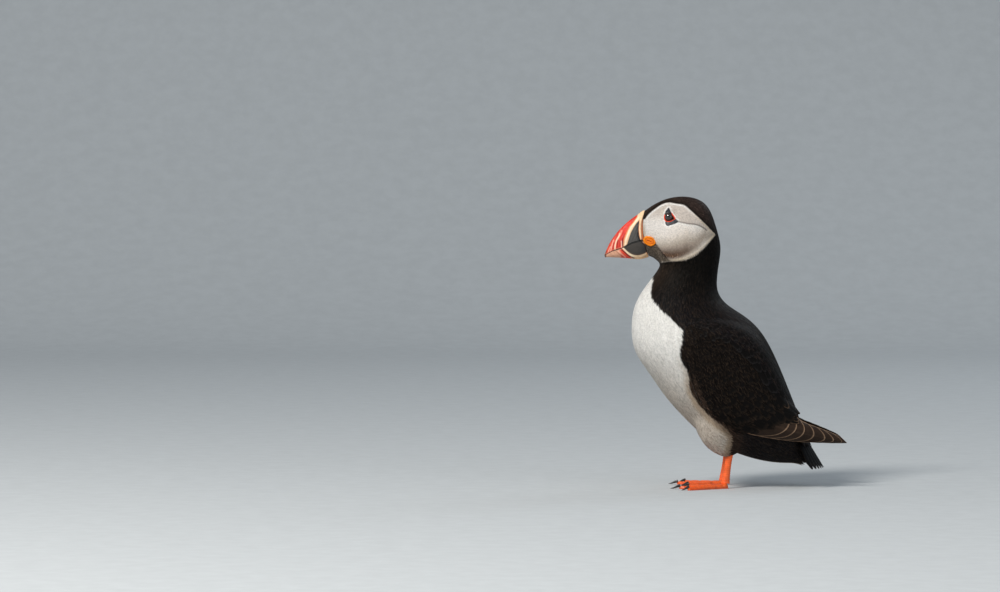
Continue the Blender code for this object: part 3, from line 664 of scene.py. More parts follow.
def ramp(tree, source, low, high, start=0.35, end=0.65):
    """A value that follows the source from low to high between two of its levels."""
    inputs = {"Value": source, "From Min": start, "From Max": end, "To Min": low, "To Max": high}
    return add(tree, "MapRange", inputs).outputs["Result"]


def work_out(tree, operation, *values):
    """The result of a sum with one or two values."""
    return add(tree, "Math", dict(enumerate(values)), operation=operation).outputs["Value"]


def tinted(tree, shader, variation, colour=None):
    """Base colour from the piece's own vertex colours, or from one colour, made lighter and darker by a
    varying value. Gives back the vertex colours' lightness."""
    own = None if colour else add(tree, "Attribute", attribute_name="tint")
    inputs = {0: colour or own.outputs["Color"], "Scale": variation}
    scaled = add(tree, "VectorMath", inputs, operation="SCALE")
    feed(tree, shader, {"Base Color": scaled.outputs["Vector"]})
    return own and own.outputs["Fac"]


def bumped(tree, shader, height, strength, distance):
    """Fine relief from a height value, in metres."""
    bump = add(tree, "Bump", {"Strength": strength, "Distance": distance, "Height": height})
    feed(tree, shader, {"Normal": bump.outputs["Normal"]})


def plumage_material():
    """Short feathers: the markings, mottled finely, rougher where they are pale, with a soft sheen."""
    made, tree, shader = new_material("plumage")
    light = tinted(tree, shader, ramp(tree, noise(tree, 900.0, 4.0), 0.86, 1.12))
    feed(tree, shader, {
        "Roughness": ramp(tree, light, 0.5, 0.85, 0.02, 0.5),
        "Specular IOR Level": 0.04,
        "Sheen Weight": 0.01,
        "Sheen Roughness": 0.5,
        "Subsurface Weight": ramp(tree, light, 0.0, 0.30, 0.1, 0.5),
        "Subsurface Radius": (0.0009, 0.0008, 0.0007),
        "Subsurface Scale": 1.0,
    })
    bumped(tree, shader, noise(tree, 1600.0, 4.0), 0.35, 0.0002)
    return made


def vane_material():
    """Stiff feathers: slanting barbs on both sides of a shaft, drawn on the feather's own map."""
    made, tree, shader = new_material("stiff_feathers")
    place = add(tree, "UVMap", uv_map="Vane").outputs["UV"]
    split = add(tree, "SeparateXYZ", {"Vector": place}).outputs
    across = work_out(tree, "ABSOLUTE", split["X"])
    slant = work_out(tree, "SUBTRACT", split["Y"], work_out(tree, "MULTIPLY", across, 0.35))
    barbs = work_out(tree, "SINE", work_out(tree, "MULTIPLY", slant, 140.0))
    shaft = ramp(tree, across, 1.35, 1.0, 0.02, 0.12)
    mottled = work_out(tree, "MULTIPLY", ramp(tree, noise(tree, 260.0), 0.88, 1.12), shaft)
    tinted(tree, shader, work_out(tree, "MULTIPLY", mottled, ramp(tree, barbs, 0.95, 1.04, -1.0, 1.0)))
    feed(tree, shader, {"Roughness": 0.55, "Specular IOR Level": 0.07})
    bumped(tree, shader, barbs, 0.12, 0.00012)
    return made


def horn_material(name, roughness, relief, coat):
    """Horn: painted by its own vertex colours, faintly mottled, with growth lines and a worn gloss."""
    made, tree, shader = new_material(name)
    tinted(tree, shader, ramp(tree, noise(tree, 300.0, 5.0), 0.9, 1.1))
    worn = ramp(tree, noise(tree, 420.0), roughness - 0.08, roughness + 0.14)
    feed(tree, shader, {"Roughness": worn, "Specular IOR Level": 0.28})
    feed(tree, shader, {"Coat Weight": coat, "Coat Roughness": 0.3})
    bumped(tree, shader, noise(tree, 700.0, 5.0, (0.35, 1.0, 1.0)), relief, 0.0003)
    return made


def scaled_skin_material():
    """Bare scaled skin of legs and feet: small cells with dark seams over the vertex colours."""
    made, tree, shader = new_material("scaled_skin")
    inputs = {"Vector": add(tree, "TexCoord").outputs["Object"], "Scale": 1250.0}
    cells = add(tree, "TexVoronoi", inputs, feature="DISTANCE_TO_EDGE").outputs["Distance"]
    mottle = ramp(tree, noise(tree, 200.0), 0.85, 1.15)
    tinted(tree, shader, work_out(tree, "MULTIPLY", ramp(tree, cells, 0.82, 1.04, 0.0, 0.2), mottle))
    feed(tree, shader, {"Roughness": 0.42})
    feed(tree, shader, {"Subsurface Weight": 0.08, "Subsurface Radius": (0.002, 0.0008, 0.0004)})
    bumped(tree, shader, cells, 0.3, 0.0002)
    return made


def wet_material():
    """The eye: dark, clear and wet."""
    made, tree, shader = new_material("wet_eye")
    tinted(tree, shader, ramp(tree, noise(tree, 2500.0), 0.8, 1.2))
    feed(tree, shader, {"Roughness": 0.12, "Coat Weight": 1.0, "Coat Roughness": 0.02})
    return made


def plain_material(name, colour, roughness, scale):
    """A surface of one colour with a faint mottle."""
    made, tree, shader = new_material(name)
    tinted(tree, shader, ramp(tree, noise(tree, scale, 4.0), 0.97, 1.03), colour)
    feed(tree, shader, {"Roughness": roughness})
    return made


FINISHES = {}


def finish(name):
    """The finish of that name, made when it is first asked for."""
    if name not in FINISHES:
        FINISHES[name] = {
            "plumage": plumage_material,
            "vane": vane_material,
            "horn": lambda: horn_material("bill_horn", 0.5, 0.45, 0.02),
            "claw": lambda: horn_material("claw_horn", 0.3, 0.2, 0.5),
            "plate": lambda: horn_material("eye_plate_horn", 0.45, 0.3, 0.1),
            "soft": lambda: horn_material("bare_skin", 0.6, 0.5, 0.0),
            "skin": scaled_skin_material,
            "eye": wet_material,
        }[name]()
    return FINISHES[name]


# Feathers.

LOCK_ALONG = np.array([0, 0.36, 0.36, 0.36, 0.74, 0.74, 0.74, 1.0])
LOCK_ASIDE = np.array([0, -1.0, 0, 1.0, -0.72, 0, 0.72, 0]) / 2
LOCK_CROWN = np.array([0, 0, 1.0, 0, 0, 0.8, 0, 0])
LOCK_FACES = np.array(
    [(0, 1, 2), (0, 2, 3), (0, 3, 1), (1, 4, 5), (1, 5, 2), (2, 5, 6), (2, 6, 3), (3, 6, 4), (3, 4, 1),
     (4, 7, 5), (5, 7, 6), (6, 7, 4)]
)


def scatter(sheet, density, seed):
    """Places spread evenly at a density for each square mm, given on the sheet's grid. A golden sequence of
    pairs is read through running sums of density times area, along the rows and then within a row."""
    cell = np.gradient(sheet.u)[:, None] * np.gradient(sheet.v)[None, :]
    weight = sheet.area * cell * density
    if sheet.closed:
        weight[:, -1] = 0
    count = int(weight.sum())
    rows = np.concatenate([[0], weight.sum(1).cumsum()])
    pair = (seed * 0.137 + np.arange(count)[:, None] * np.array([0.7548776662466927, 0.5698402909980532])) % 1
    i = np.interp(pair[:, 0] * rows[-1], rows, np.arange(len(rows))) - 0.5
    i = np.clip(i, 0, len(sheet.u) - 1.001)
    row = np.round(i).astype(int)
    share = weight.cumsum(1) / np.maximum(weight.sum(1, keepdims=True), 1e-9)
    keys = (share + np.arange(len(share))[:, None]).ravel()
    k = np.searchsorted(keys, pair[:, 1] * 0.999999 + row) - row * share.shape[1]
    k = np.clip(k, 0, share.shape[1] - 2) + np.random.default_rng(seed).uniform(-0.5, 0.5, count)
    return np.interp(i, np.arange(len(sheet.u)), sheet.u), np.interp(k, np.arange(len(sheet.v)), sheet.v)


def unwrapped(sheet, u, v, wrap=True):
    """The place on the unwrap that belongs to a sheet's parameters."""
    span = sheet.v[-1] - sheet.v[0]
    across = (np.mod(v - sheet.v[0], span) if wrap else v - sheet.v[0]) / span
    return np.stack([across, (u - sheet.u[0]) / (sheet.u[-1] - sheet.u[0])], -1) * 0.98 + 0.01


def lock_points(sheet, u, v, length, width, heading, sunk, proud):
    """Small pointed locks: each a closed leaf of eight points with a raised midline, walked out over the
    sheet from its root, sunk at the root and standing proud at the tip by the given mm."""
    ahead = LOCK_ALONG * length[:, None]
    aside = LOCK_ASIDE * width[:, None]
    along = ahead * np.cos(heading)[:, None] - aside * np.sin(heading)[:, None]
    across = ahead * np.sin(heading)[:, None] + aside * np.cos(heading)[:, None]
    at_u, at_v = sheet.walk(u[:, None], v[:, None], along, across)
    place, normal, _, _ = sheet.read(at_u, at_v)
    lift = -sunk[:, None] + (sunk + proud)[:, None] * LOCK_ALONG**0.4 + 0.09 * width[:, None] * LOCK_CROWN
    points = place + normal * lift[..., None]
    own = unit(np.cross(points[:, 7] - points[:, 0], points[:, 3] - points[:, 1]))
    own = own * np.sign(np.sum(own * normal[:, 2], -1))[:, None]
    for middle, left, right in ((2, 1, 3), (5, 4, 6)):  # in a hollow, too, the midline stands above the edges
        above = np.sum((points[:, middle] - (points[:, left] + points[:, right]) / 2) * own, -1)
        points[:, middle] += own * np.maximum(0.06 * width - above, 0)[:, None]
    own = own[:, None]
    beside = unit(points[:, 3] - points[:, 1])[:, None]
    ragged = np.random.default_rng(len(u)).normal(0, 0.11, (len(u), 1, 3))
    facing = unit(normal + ragged + 0.3 * (2 * LOCK_ASIDE)[None, :, None] * beside)
    turned = np.sum(facing * own, -1, keepdims=True)
    return points, unit(facing + own * np.clip(0.8 - turned, 0, 2))  # never far from the lock's own side


def streaked(tint, points, rng):
    """Uneven plumage: among the white feathers of the belly a few are dusky, and the dark feathers of back
    and wings have paler, bluish tips, more of them below the head: painted glints of sheen, partly paler
    feather tips."""
    x, _, z = np.moveaxis(points[:, 2], -1, 0)
    chance = rng.random(len(points)) ** 3
    light = tint[:, 2].mean(-1)
    low = step(-z - 0.5 * x, -96, -50) * step(light, 0.2, 0.4) * (z < 130)
    tint = mix(tint, FLANK, (0.45 * low * chance)[:, None] * np.ones(8))
    dark = step(-light, -0.12, -0.06)
    tint = tint * (1 + dark * (np.exp(rng.normal(0, 0.45, len(points))) - 1))[:, None, None]
    # Painted glints of sheen on the tips of a few dark locks, with some paler feather tips among them.
    pale = 0.4 * dark * chance * (0.3 + 0.7 * step(-z, -165, -120))
    return mix(tint, FRINGE * (0.30, 0.31, 0.33), pale[:, None] * step(LOCK_ALONG, 0.4, 1.0))


def lock_piece(name, sheet, u, v, size, seed, colour_at, blend, stands_for, mirror=1):
    """One coat piece of locks. size gives length, width, sunk and proud for each root; colour_at gives a
    colour for points; blend is the share by which a lock takes the colour of its middle."""
    rng = np.random.default_rng(seed)
    length, width, sunk, proud = size
    count = len(u)
    length = length * rng.uniform(0.8, 1.2, count)
    heading = rng.normal(0, 0.16, count)
    proud = proud + rng.uniform(-0.04, 0.04, count) * np.clip(width, 0.4, 1.2)
    width = width * rng.uniform(0.8, 1.2, count)
    points, facing = lock_points(sheet, u, v, length, width, heading, sunk, proud)
    tint = colour_at(points * (1 - blend) + points[:, 2:3] * blend)
    value = rng.normal(1.0, 0.05, count)[:, None, None]
    tint = streaked(tint * value * (1 + 0.08 * (LOCK_ALONG - 0.5))[None, :, None], points, rng)
    faces = (np.arange(count)[:, None, None] * 8 + LOCK_FACES).reshape(-1, 3)[:, ::mirror]
    points, facing = points * (1, mirror, 1), facing * (1, mirror, 1)
    patch = unwrapped(sheet, u, v)[:, None, :] + 0.003 * np.stack([LOCK_ASIDE, LOCK_ALONG - 0.5], -1)
    return build(name, points, faces, finish("plumage"), stands_for, tint, patch, None, facing)


def blade_grid(rows, columns):
    """Faces of one closed blade: a grid on top, the same grid under it, and the rim between them."""
    top = grid_faces(rows, columns)
    size = rows * columns
    rim = [(r, 0) for r in range(rows)] + [(rows - 1, c) for c in range(1, columns)]
    rim += [(r, columns - 1) for r in range(rows - 2, -1, -1)] + [(0, c) for c in range(columns - 2, 0, -1)]
    rim = np.array([r * columns + c for r, c in rim])
    after = np.roll(rim, -1)
    return np.concatenate([top, top[:, ::-1] + size, np.stack([rim, rim + size, after + size, after], -1)])


def blades(name, place, normal, beside, side, share, height, body, tint, dim, root, size, stretch, node,
           mirror):
    """One piece of closed blades that stands for a node. Their middle surfaces lie at height above place
    along the normals, and body is half their thickness. The shading turns to both sides of the shaft. Each
    blade's own map runs from -1 to 1 across it and from 0 to stretch along it, and root is the middle of its
    patch on the unwrap."""
    count, rows, columns = height.shape
    points = np.stack([place + normal * (height + way * body)[..., None] for way in (1, -1)], 1)
    facing = unit(normal + 0.3 * side[:, None] * beside)
    facing = np.stack([facing, -facing], 1)
    first = np.arange(count)[:, None, None] * (2 * rows * columns)
    faces = (first + blade_grid(rows, columns)).reshape(-1, 4)
    own = np.stack(np.meshgrid(side, share), -1)
    patch, vane = (np.broadcast_to(places, (count, 2, rows, columns, 2)) for places in (
        root[:, None, None, None] + size * (own - (0, 0.5)), own * (1, stretch)))
    return build(name, points * (1, mirror, 1), faces[:, ::mirror], finish("vane"), (node,),
                 np.stack([tint, tint * dim], 1), patch, {"Vane": vane}, facing * (1, mirror, 1))


def laid_feathers(name, sheet, table, fringe, fringe_tone, seed, node, mirror, rows=6, columns=5):
    """One piece of short wing feathers with rounded, slightly frayed tips. The table has a row for each:
    root u and v, length, half width, heading at root and tip, root lift, tip lift, thickness, tone. Its
    middle walks over the sheet, and the vane spreads to both sides of it, bent down at its edges."""
    u, v, length, half, head, turn, low, high, thick, tone = table.T
    count = len(table)
    rng = np.random.default_rng(seed)
    share = np.linspace(0, 1, rows)
    share = share - 0.05 * np.sin(2 * np.pi * share)
    side = np.linspace(-1, 1, columns)
    at_u, at_v, centre, normal = u, v, [], []
    for r in range(rows):
        if r:
            heading = head + (turn - head) * share[r]
            stride = length * (share[r] - share[r - 1])
            at_u, at_v = sheet.walk(at_u, at_v, stride * np.cos(heading), stride * np.sin(heading))
        place, up, _, _ = sheet.read(at_u, at_v)
        centre.append(place)
        normal.append(up)
    centre, normal = np.stack(centre, 1), np.stack(normal, 1)
    forward = unit(np.gradient(centre, axis=1))
    left = unit(np.cross(normal, forward))[:, :, None]
    outline = np.minimum(0.35 + 0.65 * np.sqrt(np.clip(share / 0.25, 0, 1)), 1.0)
    outline = outline * np.sqrt(np.clip(1 - np.clip((share - 0.72) / 0.29, 0, 1) ** 2.2, 0.0, 1)) + 0.02
    half, thick = half[:, None, None], thick[:, None, None]
    wide = half * outline[None, :, None] * side
    lift = low[:, None] + (high - low)[:, None] * share
    crown = lift[..., None] + 0.12 * half * (1 - side**2) - wide**2 / 90.0
    uneven = rng.uniform(-1, 1, (count, 1, columns))
    along = np.zeros((count, rows, columns))
    along[:, -2:] += 0.03 * length[:, None, None] * uneven * np.array([[0.4], [1.0]])
    body = thick / 2 * (1 - 0.7 * side**2) * (1 - 0.5 * share[:, None])
    spine = centre[:, :, None] + left * wide[..., None] + forward[:, :, None] * along[..., None]
    tint = wing_tone(centre[:, rows // 2]) * tone[:, None] * rng.normal(1.0, 0.05, count)[:, None]
    sides = step(np.abs(side), 0.7, 1.0) * step(share, 0.3, 0.8)[:, None]
    edge = np.maximum(sides, step(share, 0.86, 1.0)[:, None])
    tint = mix(tint[:, None, None], fringe_tone, fringe * edge)
    return blades(name, spine, normal[:, :, None], left, side, share, crown, body, tint, 0.9,
                  unwrapped(sheet, u, v), np.array([0.0015, 0.003]), 1, node, mirror)


def feather_table(*columns):
    """A table with a row for each feather, from columns that may be single numbers."""
    return np.stack(np.broadcast_arrays(*columns), -1)


def paddles(name, sheet, table, tones, node, mirror=1, rows=16, columns=9, drop=0.2, lean=0.0, fringe=0.05,
            seed=1, crown=0.3, settle=(0, 1, 1, 1), unit_mm=11.5):
    """One piece of long stiff feathers laid straight in a sheet's own parameters. The table has a row for
    each: first u, tip u, v at root and tip, half width in v at root and tip, lift, thickness. The far end is
    a quarter of an ellipse on each side of a place that leans towards greater v, and drop is how far each
    side falls back. settle gives two places u and the shares of the lift there."""
    first, tip, v_root, v_tip, half_root, half_tip, lift, thick = table.T[:, :, None, None]
    count = len(table)
    rng = np.random.default_rng(seed)
    share = 1 - (1 - np.linspace(0, 1, rows)[:, None]) ** 1.7
    side = np.sin(np.pi / 2 * np.linspace(-1, 1, columns))
    away = (side - lean) / np.where(side > lean, 1 - lean, 1 + lean)
    bend = (1 - np.sqrt(np.clip(1 - away**2, 0, 1)) + away**2) / 2
    near, far = np.broadcast_to(drop, 2)
    end = tip - np.where(side > lean, far, near) * bend
    u = first + (end - first) * share
    v = v_root + (v_tip - v_root) * share + side * (half_root + (half_tip - half_root) * share)
    place, normal, _, _ = sheet.read(u, v)
    lift = lift * np.interp(u, settle[:2], settle[2:])
    height = lift + crown * (1 - side**2) * (1 - 0.4 * share) - 0.8 * (1 - share) ** 3
    body = thick / 2 * (1 - 0.6 * side**2) * (1 - 0.5 * share)
    beside = unit(place[:, :, -1:] - place[:, :, :1])
    sides = step(np.abs(side), 0.94, 0.98) * step(share, 0.4, 0.75)
    edge = np.maximum(sides, step((u - end) * unit_mm, -0.8, -0.4))
    tint = np.reshape(tones, (-1, 1, 1, 3)) * rng.normal(1, 0.06, count)[:, None, None, None]
    tint = mix(tint * (0.9 + 0.2 * share)[..., None], FRINGE, fringe * edge)
    across = int(math.ceil(math.sqrt(count)))  # their patches lie side by side in a square
    root = np.stack(np.divmod(np.arange(count), across)[::-1], -1) + 0.5
    return blades(name, place, normal, beside, side, share.ravel(), height, body, tint, 0.8, root / across,
                  np.array([0.42, 0.85]) / across, 3.0, node, mirror)


# The pieces.


def make_skin():
    """The bare body under the plumage: the outer surface drawn in along its normals by the coat's depth,
    which grows from the face to the trunk, and closed at both ends."""
    u = np.concatenate([np.linspace(0, 7.5, 170), np.linspace(7.5, BODY_END, 140)[1:]])
    rows, columns = len(u), 280
    outer, normal, _, _ = BODY.read(*np.meshgrid(u, circle(columns), indexing="ij"))
    disc = step(within(outer[..., 0], outer[..., 2], DISC_EDGE), -1.0, 1.0) * (outer[..., 2] > 158)
    depth = np.interp(u, [0, 1.5, 6, 9, 12], [0.28, 0.32, 0.45, 0.7, 0.9])[:, None]
    depth = depth * bpy.context.scene.puffin_plumage.depth * (1 - 0.2 * disc)
    tint = plumage(outer.reshape(-1, 3)) * 0.92
    tint = np.concatenate([tint, tint[:1], tint[-1:]])
    points, faces = closed_tube(outer - normal * depth[..., None])
    # The unwrap runs round the body and along it, the same for the skin and for every lock's root.
    i, k = np.meshgrid(np.arange(rows - 1), np.arange(columns), indexing="ij")
    round_, level = np.stack([k, k, k + 1, k + 1], -1), np.stack([i, i + 1, i + 1, i], -1)
    k = np.arange(columns)
    caps = np.concatenate([np.stack([k + 0.5, k, k + 1], -1), np.stack([k + 0.5, k + 1, k], -1)])
    level = np.concatenate([level.ravel(), np.repeat([0, rows - 1], 3 * columns)])
    turn = np.concatenate([round_.ravel(), caps.ravel()]) / columns * 2 * np.pi
    covered = ("head", "neck", "trunk", "thigh_left", "thigh_right")
    return build("skin", points, outwards(points, faces), finish("plumage"), covered, tint,
                 unwrapped(BODY, u[level], turn, False))


def coat_mask(which):
    """The share of a coat on each point of the body's grid: where on the body it grows, kept clear of the
    eyes, their plates, the rosettes and what the wings cover."""
    x, y, z = np.moveaxis(BODY.points, -1, 0)
    u, turn = np.meshgrid(BODY.u, BODY.v, indexing="ij")
    folded = from_back(turn)
    on_head = (z > 157) & (u < 7.6)
    face = on_head & (within(x, z, DISC_EDGE) > -0.8) & (folded > 0.22)
    bare = (np.abs(y) > 6) & on_head & (
        (within(x - EYE[0], z - EYE[2], LID_EDGE) > -0.9)
        | (within(x, z, UPPER_PLATE_EDGE) > -0.15)
        | (within(x, z, LOWER_PLATE_EDGE) > -0.15)
        | (np.hypot((x - ROSETTE[0]) / 4.4, (z - ROSETTE[1]) / 3.1) < 0.98)
    )
    top, bottom = wing_edges(u - WING_START)
    on_wing = (u > WING_START + WING_AT[0] + 0.35) & (u < 16.1)
    covered = on_wing & (folded > top + 0.16) & (folded < bottom - 0.10) & (within(x, z, UNDER_EDGE) < -2.5)
    thigh = (u > 13.4) & (np.abs(y) > 6.0) & (z < 52) & (x < 18) & (x > -32) & (folded > 1.7)
    shoulder, hind = (u >= 9.8) & (u < 14.0), u >= 14.0
    regions = {
        "face": face,
        "crown": on_head & ~face & (u < 6.4),
        "neck": ((u >= 6.4) | ~on_head) & (u < 9.8),
        "breast": shoulder & (folded >= 1.5),
        "belly": hind & (folded >= 1.35) & ~thigh,
        "mantle": shoulder & (folded < 1.5),
        "rump": hind & (folded < 1.35),
        "legs": thigh,
    }
    return (regions[which] & ~bare & ~covered & (u < BODY_END - 0.1)).astype(float)


# Sizes of the locks along the body, read at the rib number: the area for one lock, its length and width,
# and how far its root is sunk and its tip stands proud.
LOCK_AT = (0.0, 0.8, 2.5, 5.0, 6.5, 8.0, 10.0, 12.0, 16.0, 20.0)
LOCK_AREA = (0.18, 0.2, 0.24, 0.30, 0.40, 0.46, 0.56, 0.62, 0.64, 0.62)
LOCK_SIZES = (
    (1.2, 1.7, 2.3, 2.7, 3.6, 4.8, 6.5, 7.5, 8.0, 7.0),  # length
    (0.5, 0.6, 0.75, 0.82, 0.86, 0.88, 0.98, 1.06, 1.12, 1.1),  # width
    (0.24, 0.25, 0.27, 0.34, 0.46, 0.6, 0.7, 0.8, 0.9, 0.9),  # sunk
    (0.0, 0.0, 0.01, 0.02, 0.06, 0.1, 0.1, 0.12, 0.14, 0.14),  # proud
)
COATS = {
    "face": ("face_plumage", ("head",), 0.25),
    "crown": ("black_plumage", ("head",), 0.5),
    "neck": ("black_plumage", ("neck",), 0.6),
    "breast": ("white_plumage", ("trunk",), 0.7),
    "belly": ("white_plumage", ("trunk",), 0.7),
    "mantle": ("black_plumage", ("trunk",), 0.7),
    "rump": ("black_plumage", ("trunk",), 0.7),
    "legs": ("white_plumage", ("thigh_left", "thigh_right"), 0.7),
}


def make_coat(which, seed):
    """One coat of locks over its part of the body."""
    slot, replaced, blend = COATS[which]
    fullness = bpy.context.scene.puffin_plumage.fullness
    density = fullness / np.interp(BODY.u, LOCK_AT, LOCK_AREA)[:, None]
    u, v = scatter(BODY, coat_mask(which) * density, seed)
    length, width, sunk, proud = (np.interp(u, LOCK_AT, row) for row in LOCK_SIZES)
    # Locks shorten round the eyes, at the disc's edge and furrow, and on the thighs.
    x, y, z = BODY.read(u, v)[0].T
    from_eye = np.hypot(x - EYE[0], z - EYE[2])
    small = np.where(np.abs(y) > 6, np.interp(from_eye, [4.3, 7.5], [0.55, 1.0]), 1.0)
    if which == "face":
        near = np.minimum(line_distance(x, z, CREASE_LINE), np.abs(within(x, z, DISC_EDGE)))
        small = small * np.interp(near, [0.3, 2.0], [0.6, 1.0])
    small = small * (0.8 if which == "legs" else 1.0)
    size = (length * small, width * np.sqrt(small), sunk * small, proud)
    return lock_piece("coat_" + which, BODY, u, v, size, seed, plumage, blend, replaced)


def wing_tone(points):
    """The closed wing's brownish black, a little greyer along its front edge."""
    x, _, z = np.moveaxis(points, -1, 0)
    wing = np.array(bpy.context.scene.puffin_plumage.wing)
    return mix(wing, FLANK * 0.8, 0.25 * step(-x, 22, 36) * step(z, 80, 110))


def clear_of_breast(sheet, table):
    """Those feathers of the wing that grow behind the white breast's edge, which overlaps the wing."""
    keep = np.ones(len(table), bool)
    for share in (0.0, 0.35, 0.7, 1.0):
        u, v = sheet.walk(table[:, 0], table[:, 1], table[:, 2] * share, 0 * table[:, 0])
        place = sheet.read(u, v)[0]
        keep &= within(place[:, 0], place[:, 2], UNDER_EDGE) < -1.2 - table[:, 3]
    return table[keep]


def feather_row(rng, u, v, length, shortest, longest, heading, bend, lift, highest, tone):
    """The table rows of one row of laid feathers, with their sizes, headings and tones spread at random."""
    count, half = len(v), length * 0.2
    return feather_table(
        u + rng.normal(0, 0.05, count),
        v,
        length * rng.uniform(shortest, longest, count),
        half * rng.uniform(0.9, 1.1, count),
        head := rng.normal(heading, 0.10, count),
        head + rng.normal(0.0, bend, count),
        -0.9,
        lift + rng.uniform(-0.1, highest, count),
        0.3,
        rng.normal(tone, 0.12, count),
    )


def covert_rows(first, last, seed):
    """A table of overlapping wing coverts, in staggered rows that grow longer towards the wing's tip."""
    rng = np.random.default_rng(seed)
    v_low, v_high = 0.02, 0.98
    rows, u, number = [], first, 0
    while u < last:
        length = float(np.interp(u, [2.4, 3.2, 4.6, 5.8, 6.8], [6.5, 8.5, 12.0, 17.0, 22.0]))
        across = WING.read(np.array([u]), np.array([0.5]))[3]
        wide = float(np.linalg.norm(across)) * (v_high - v_low)
        count = max(3, int(wide / (length * 0.2 * 1.15)))
        v = v_low + (np.arange(count) + 0.5 + 0.5 * (number % 2 - 0.5)) / count * (v_high - v_low)
        v = np.clip(v, v_low, v_high)
        rows.append(feather_row(rng, u, v, length, 0.88, 1.12, 0, 0.08, 0.05, 0.1, 1.0))
        u += 0.34 * length / 14.0
        number += 1
    return clear_of_breast(WING, np.concatenate(rows))


def scapular_rows(seed):
    """A table of the feathers that hang from the shoulder over the wing's upper edge."""
    rng = np.random.default_rng(seed)
    rows = []
    for number, t in enumerate(np.arange(10.9, 16.4, 0.36)):
        length = float(np.interp(t, [10.9, 12.5, 14.5, 16.4], [8.0, 11.0, 16.0, 19.0]))
        top, _ = wing_edges(np.array([t - WING_START]))
        v = top[0] + np.arange(-0.34, 0.25, length * 0.2 * 1.2 / TRUNK_RADIUS) + 0.02 * (number % 2)
        rows.append(feather_row(rng, t, v, length, 0.85, 1.1, 0.05, 0.06, 0.1, 0.12, 0.95))
    return clear_of_breast(BODY, np.concatenate(rows))


def make_barbs(name, seed, node, mirror):
    """Loose barbs over the coverts, so that their edges melt into each other."""
    grown = step(WING.u, 2.3, 2.5)[:, None] * (1 - step(WING.u, 6.9, 7.5))[:, None]
    clear = within(WING.points[..., 0], WING.points[..., 2], UNDER_EDGE) < -1.6
    u, v = scatter(WING, grown * ((WING.v > 0.0) & (WING.v < 1.0) & clear) / 0.85, seed - 2)
    length = np.interp(u, [2.3, 4.5, 7], [4.5, 6.5, 8.0])
    dark = np.ones(len(u), bool)
    for share in (0.4, 0.7, 1.0):
        place = WING.read(*WING.walk(u, v, share * length, 0 * length))[0]
        dark &= within(place[:, 0], place[:, 2], UNDER_EDGE) < -0.7
    u, v, length = u[dark], v[dark], length[dark]
    size = (length, 0.15 * length, 0.35 + 0 * u, 0.2 + 0 * u)
    lock_piece(name, WING, u, v, size, seed, wing_tone, 0.8, (node,), mirror)


def make_wings():
    """Each closed wing: coverts and scapulars in rows, then nested primaries, secondaries and tertials."""
    look = bpy.context.scene.puffin_plumage
    for side, sign in SIDES.items():
        seed = 11 + (sign > 0)
        node = "wing_" + side
        table = covert_rows(2.36, 6.6, seed)
        laid_feathers("wing_coverts_" + side, WING, table, 0.035, FRINGE, seed, node, sign)
        table = scapular_rows(seed + 4)
        laid_feathers("scapulars_" + side, BODY, table, 0.10, srgb(96, 92, 92), seed, node, sign)
        make_barbs("wing_barbs_" + side, seed + 8, node, sign)
        tips = np.array([8.35, 8.75, 9.2, 9.72, 10.28, 10.72, 11.3, 11.88])
        order = np.arange(8)
        table = feather_table(6.3, tips, 0.5, 0.5, 0.44, 0.46 + 0.005 * order, -0.26 * order - 0.35, 0.4)
        paddles("primaries_" + side, WING, table, look.primaries, node, sign, rows=36, columns=17,
                drop=(1.3, 0.5), lean=0.4, fringe=0.75, seed=seed, settle=(9, 11.9, 1, 0.2))
        centre = np.linspace(0.93, 0.30, 9)
        uneven = np.random.default_rng(seed + 20).normal(0, 0.04, 9)
        tips = 7.25 + 0.75 * (0.93 - centre) / 0.63 + uneven
        lift = -0.5 + 0.04 * np.arange(9)
        table = feather_table(5.6, tips, centre, centre - 0.01, 0.075, 0.085, lift, 0.35)
        paddles("secondaries_" + side, WING, table, look.wing, node, sign, columns=7, drop=0.3, lean=0.2,
                fringe=0.10, seed=seed, crown=0.25)
        centre, tips = np.array([(0.26, 8.1), (0.20, 8.3), (0.14, 8.15), (0.09, 7.8), (0.05, 7.3)]).T
        table = feather_table(5.4, tips, centre, centre, 0.10, 0.085, -0.3 + 0.12 * np.arange(5), 0.35)
        paddles("tertials_" + side, WING, table, look.wing, node, sign, drop=0.5, lean=0.1, fringe=0.25,
                seed=seed)


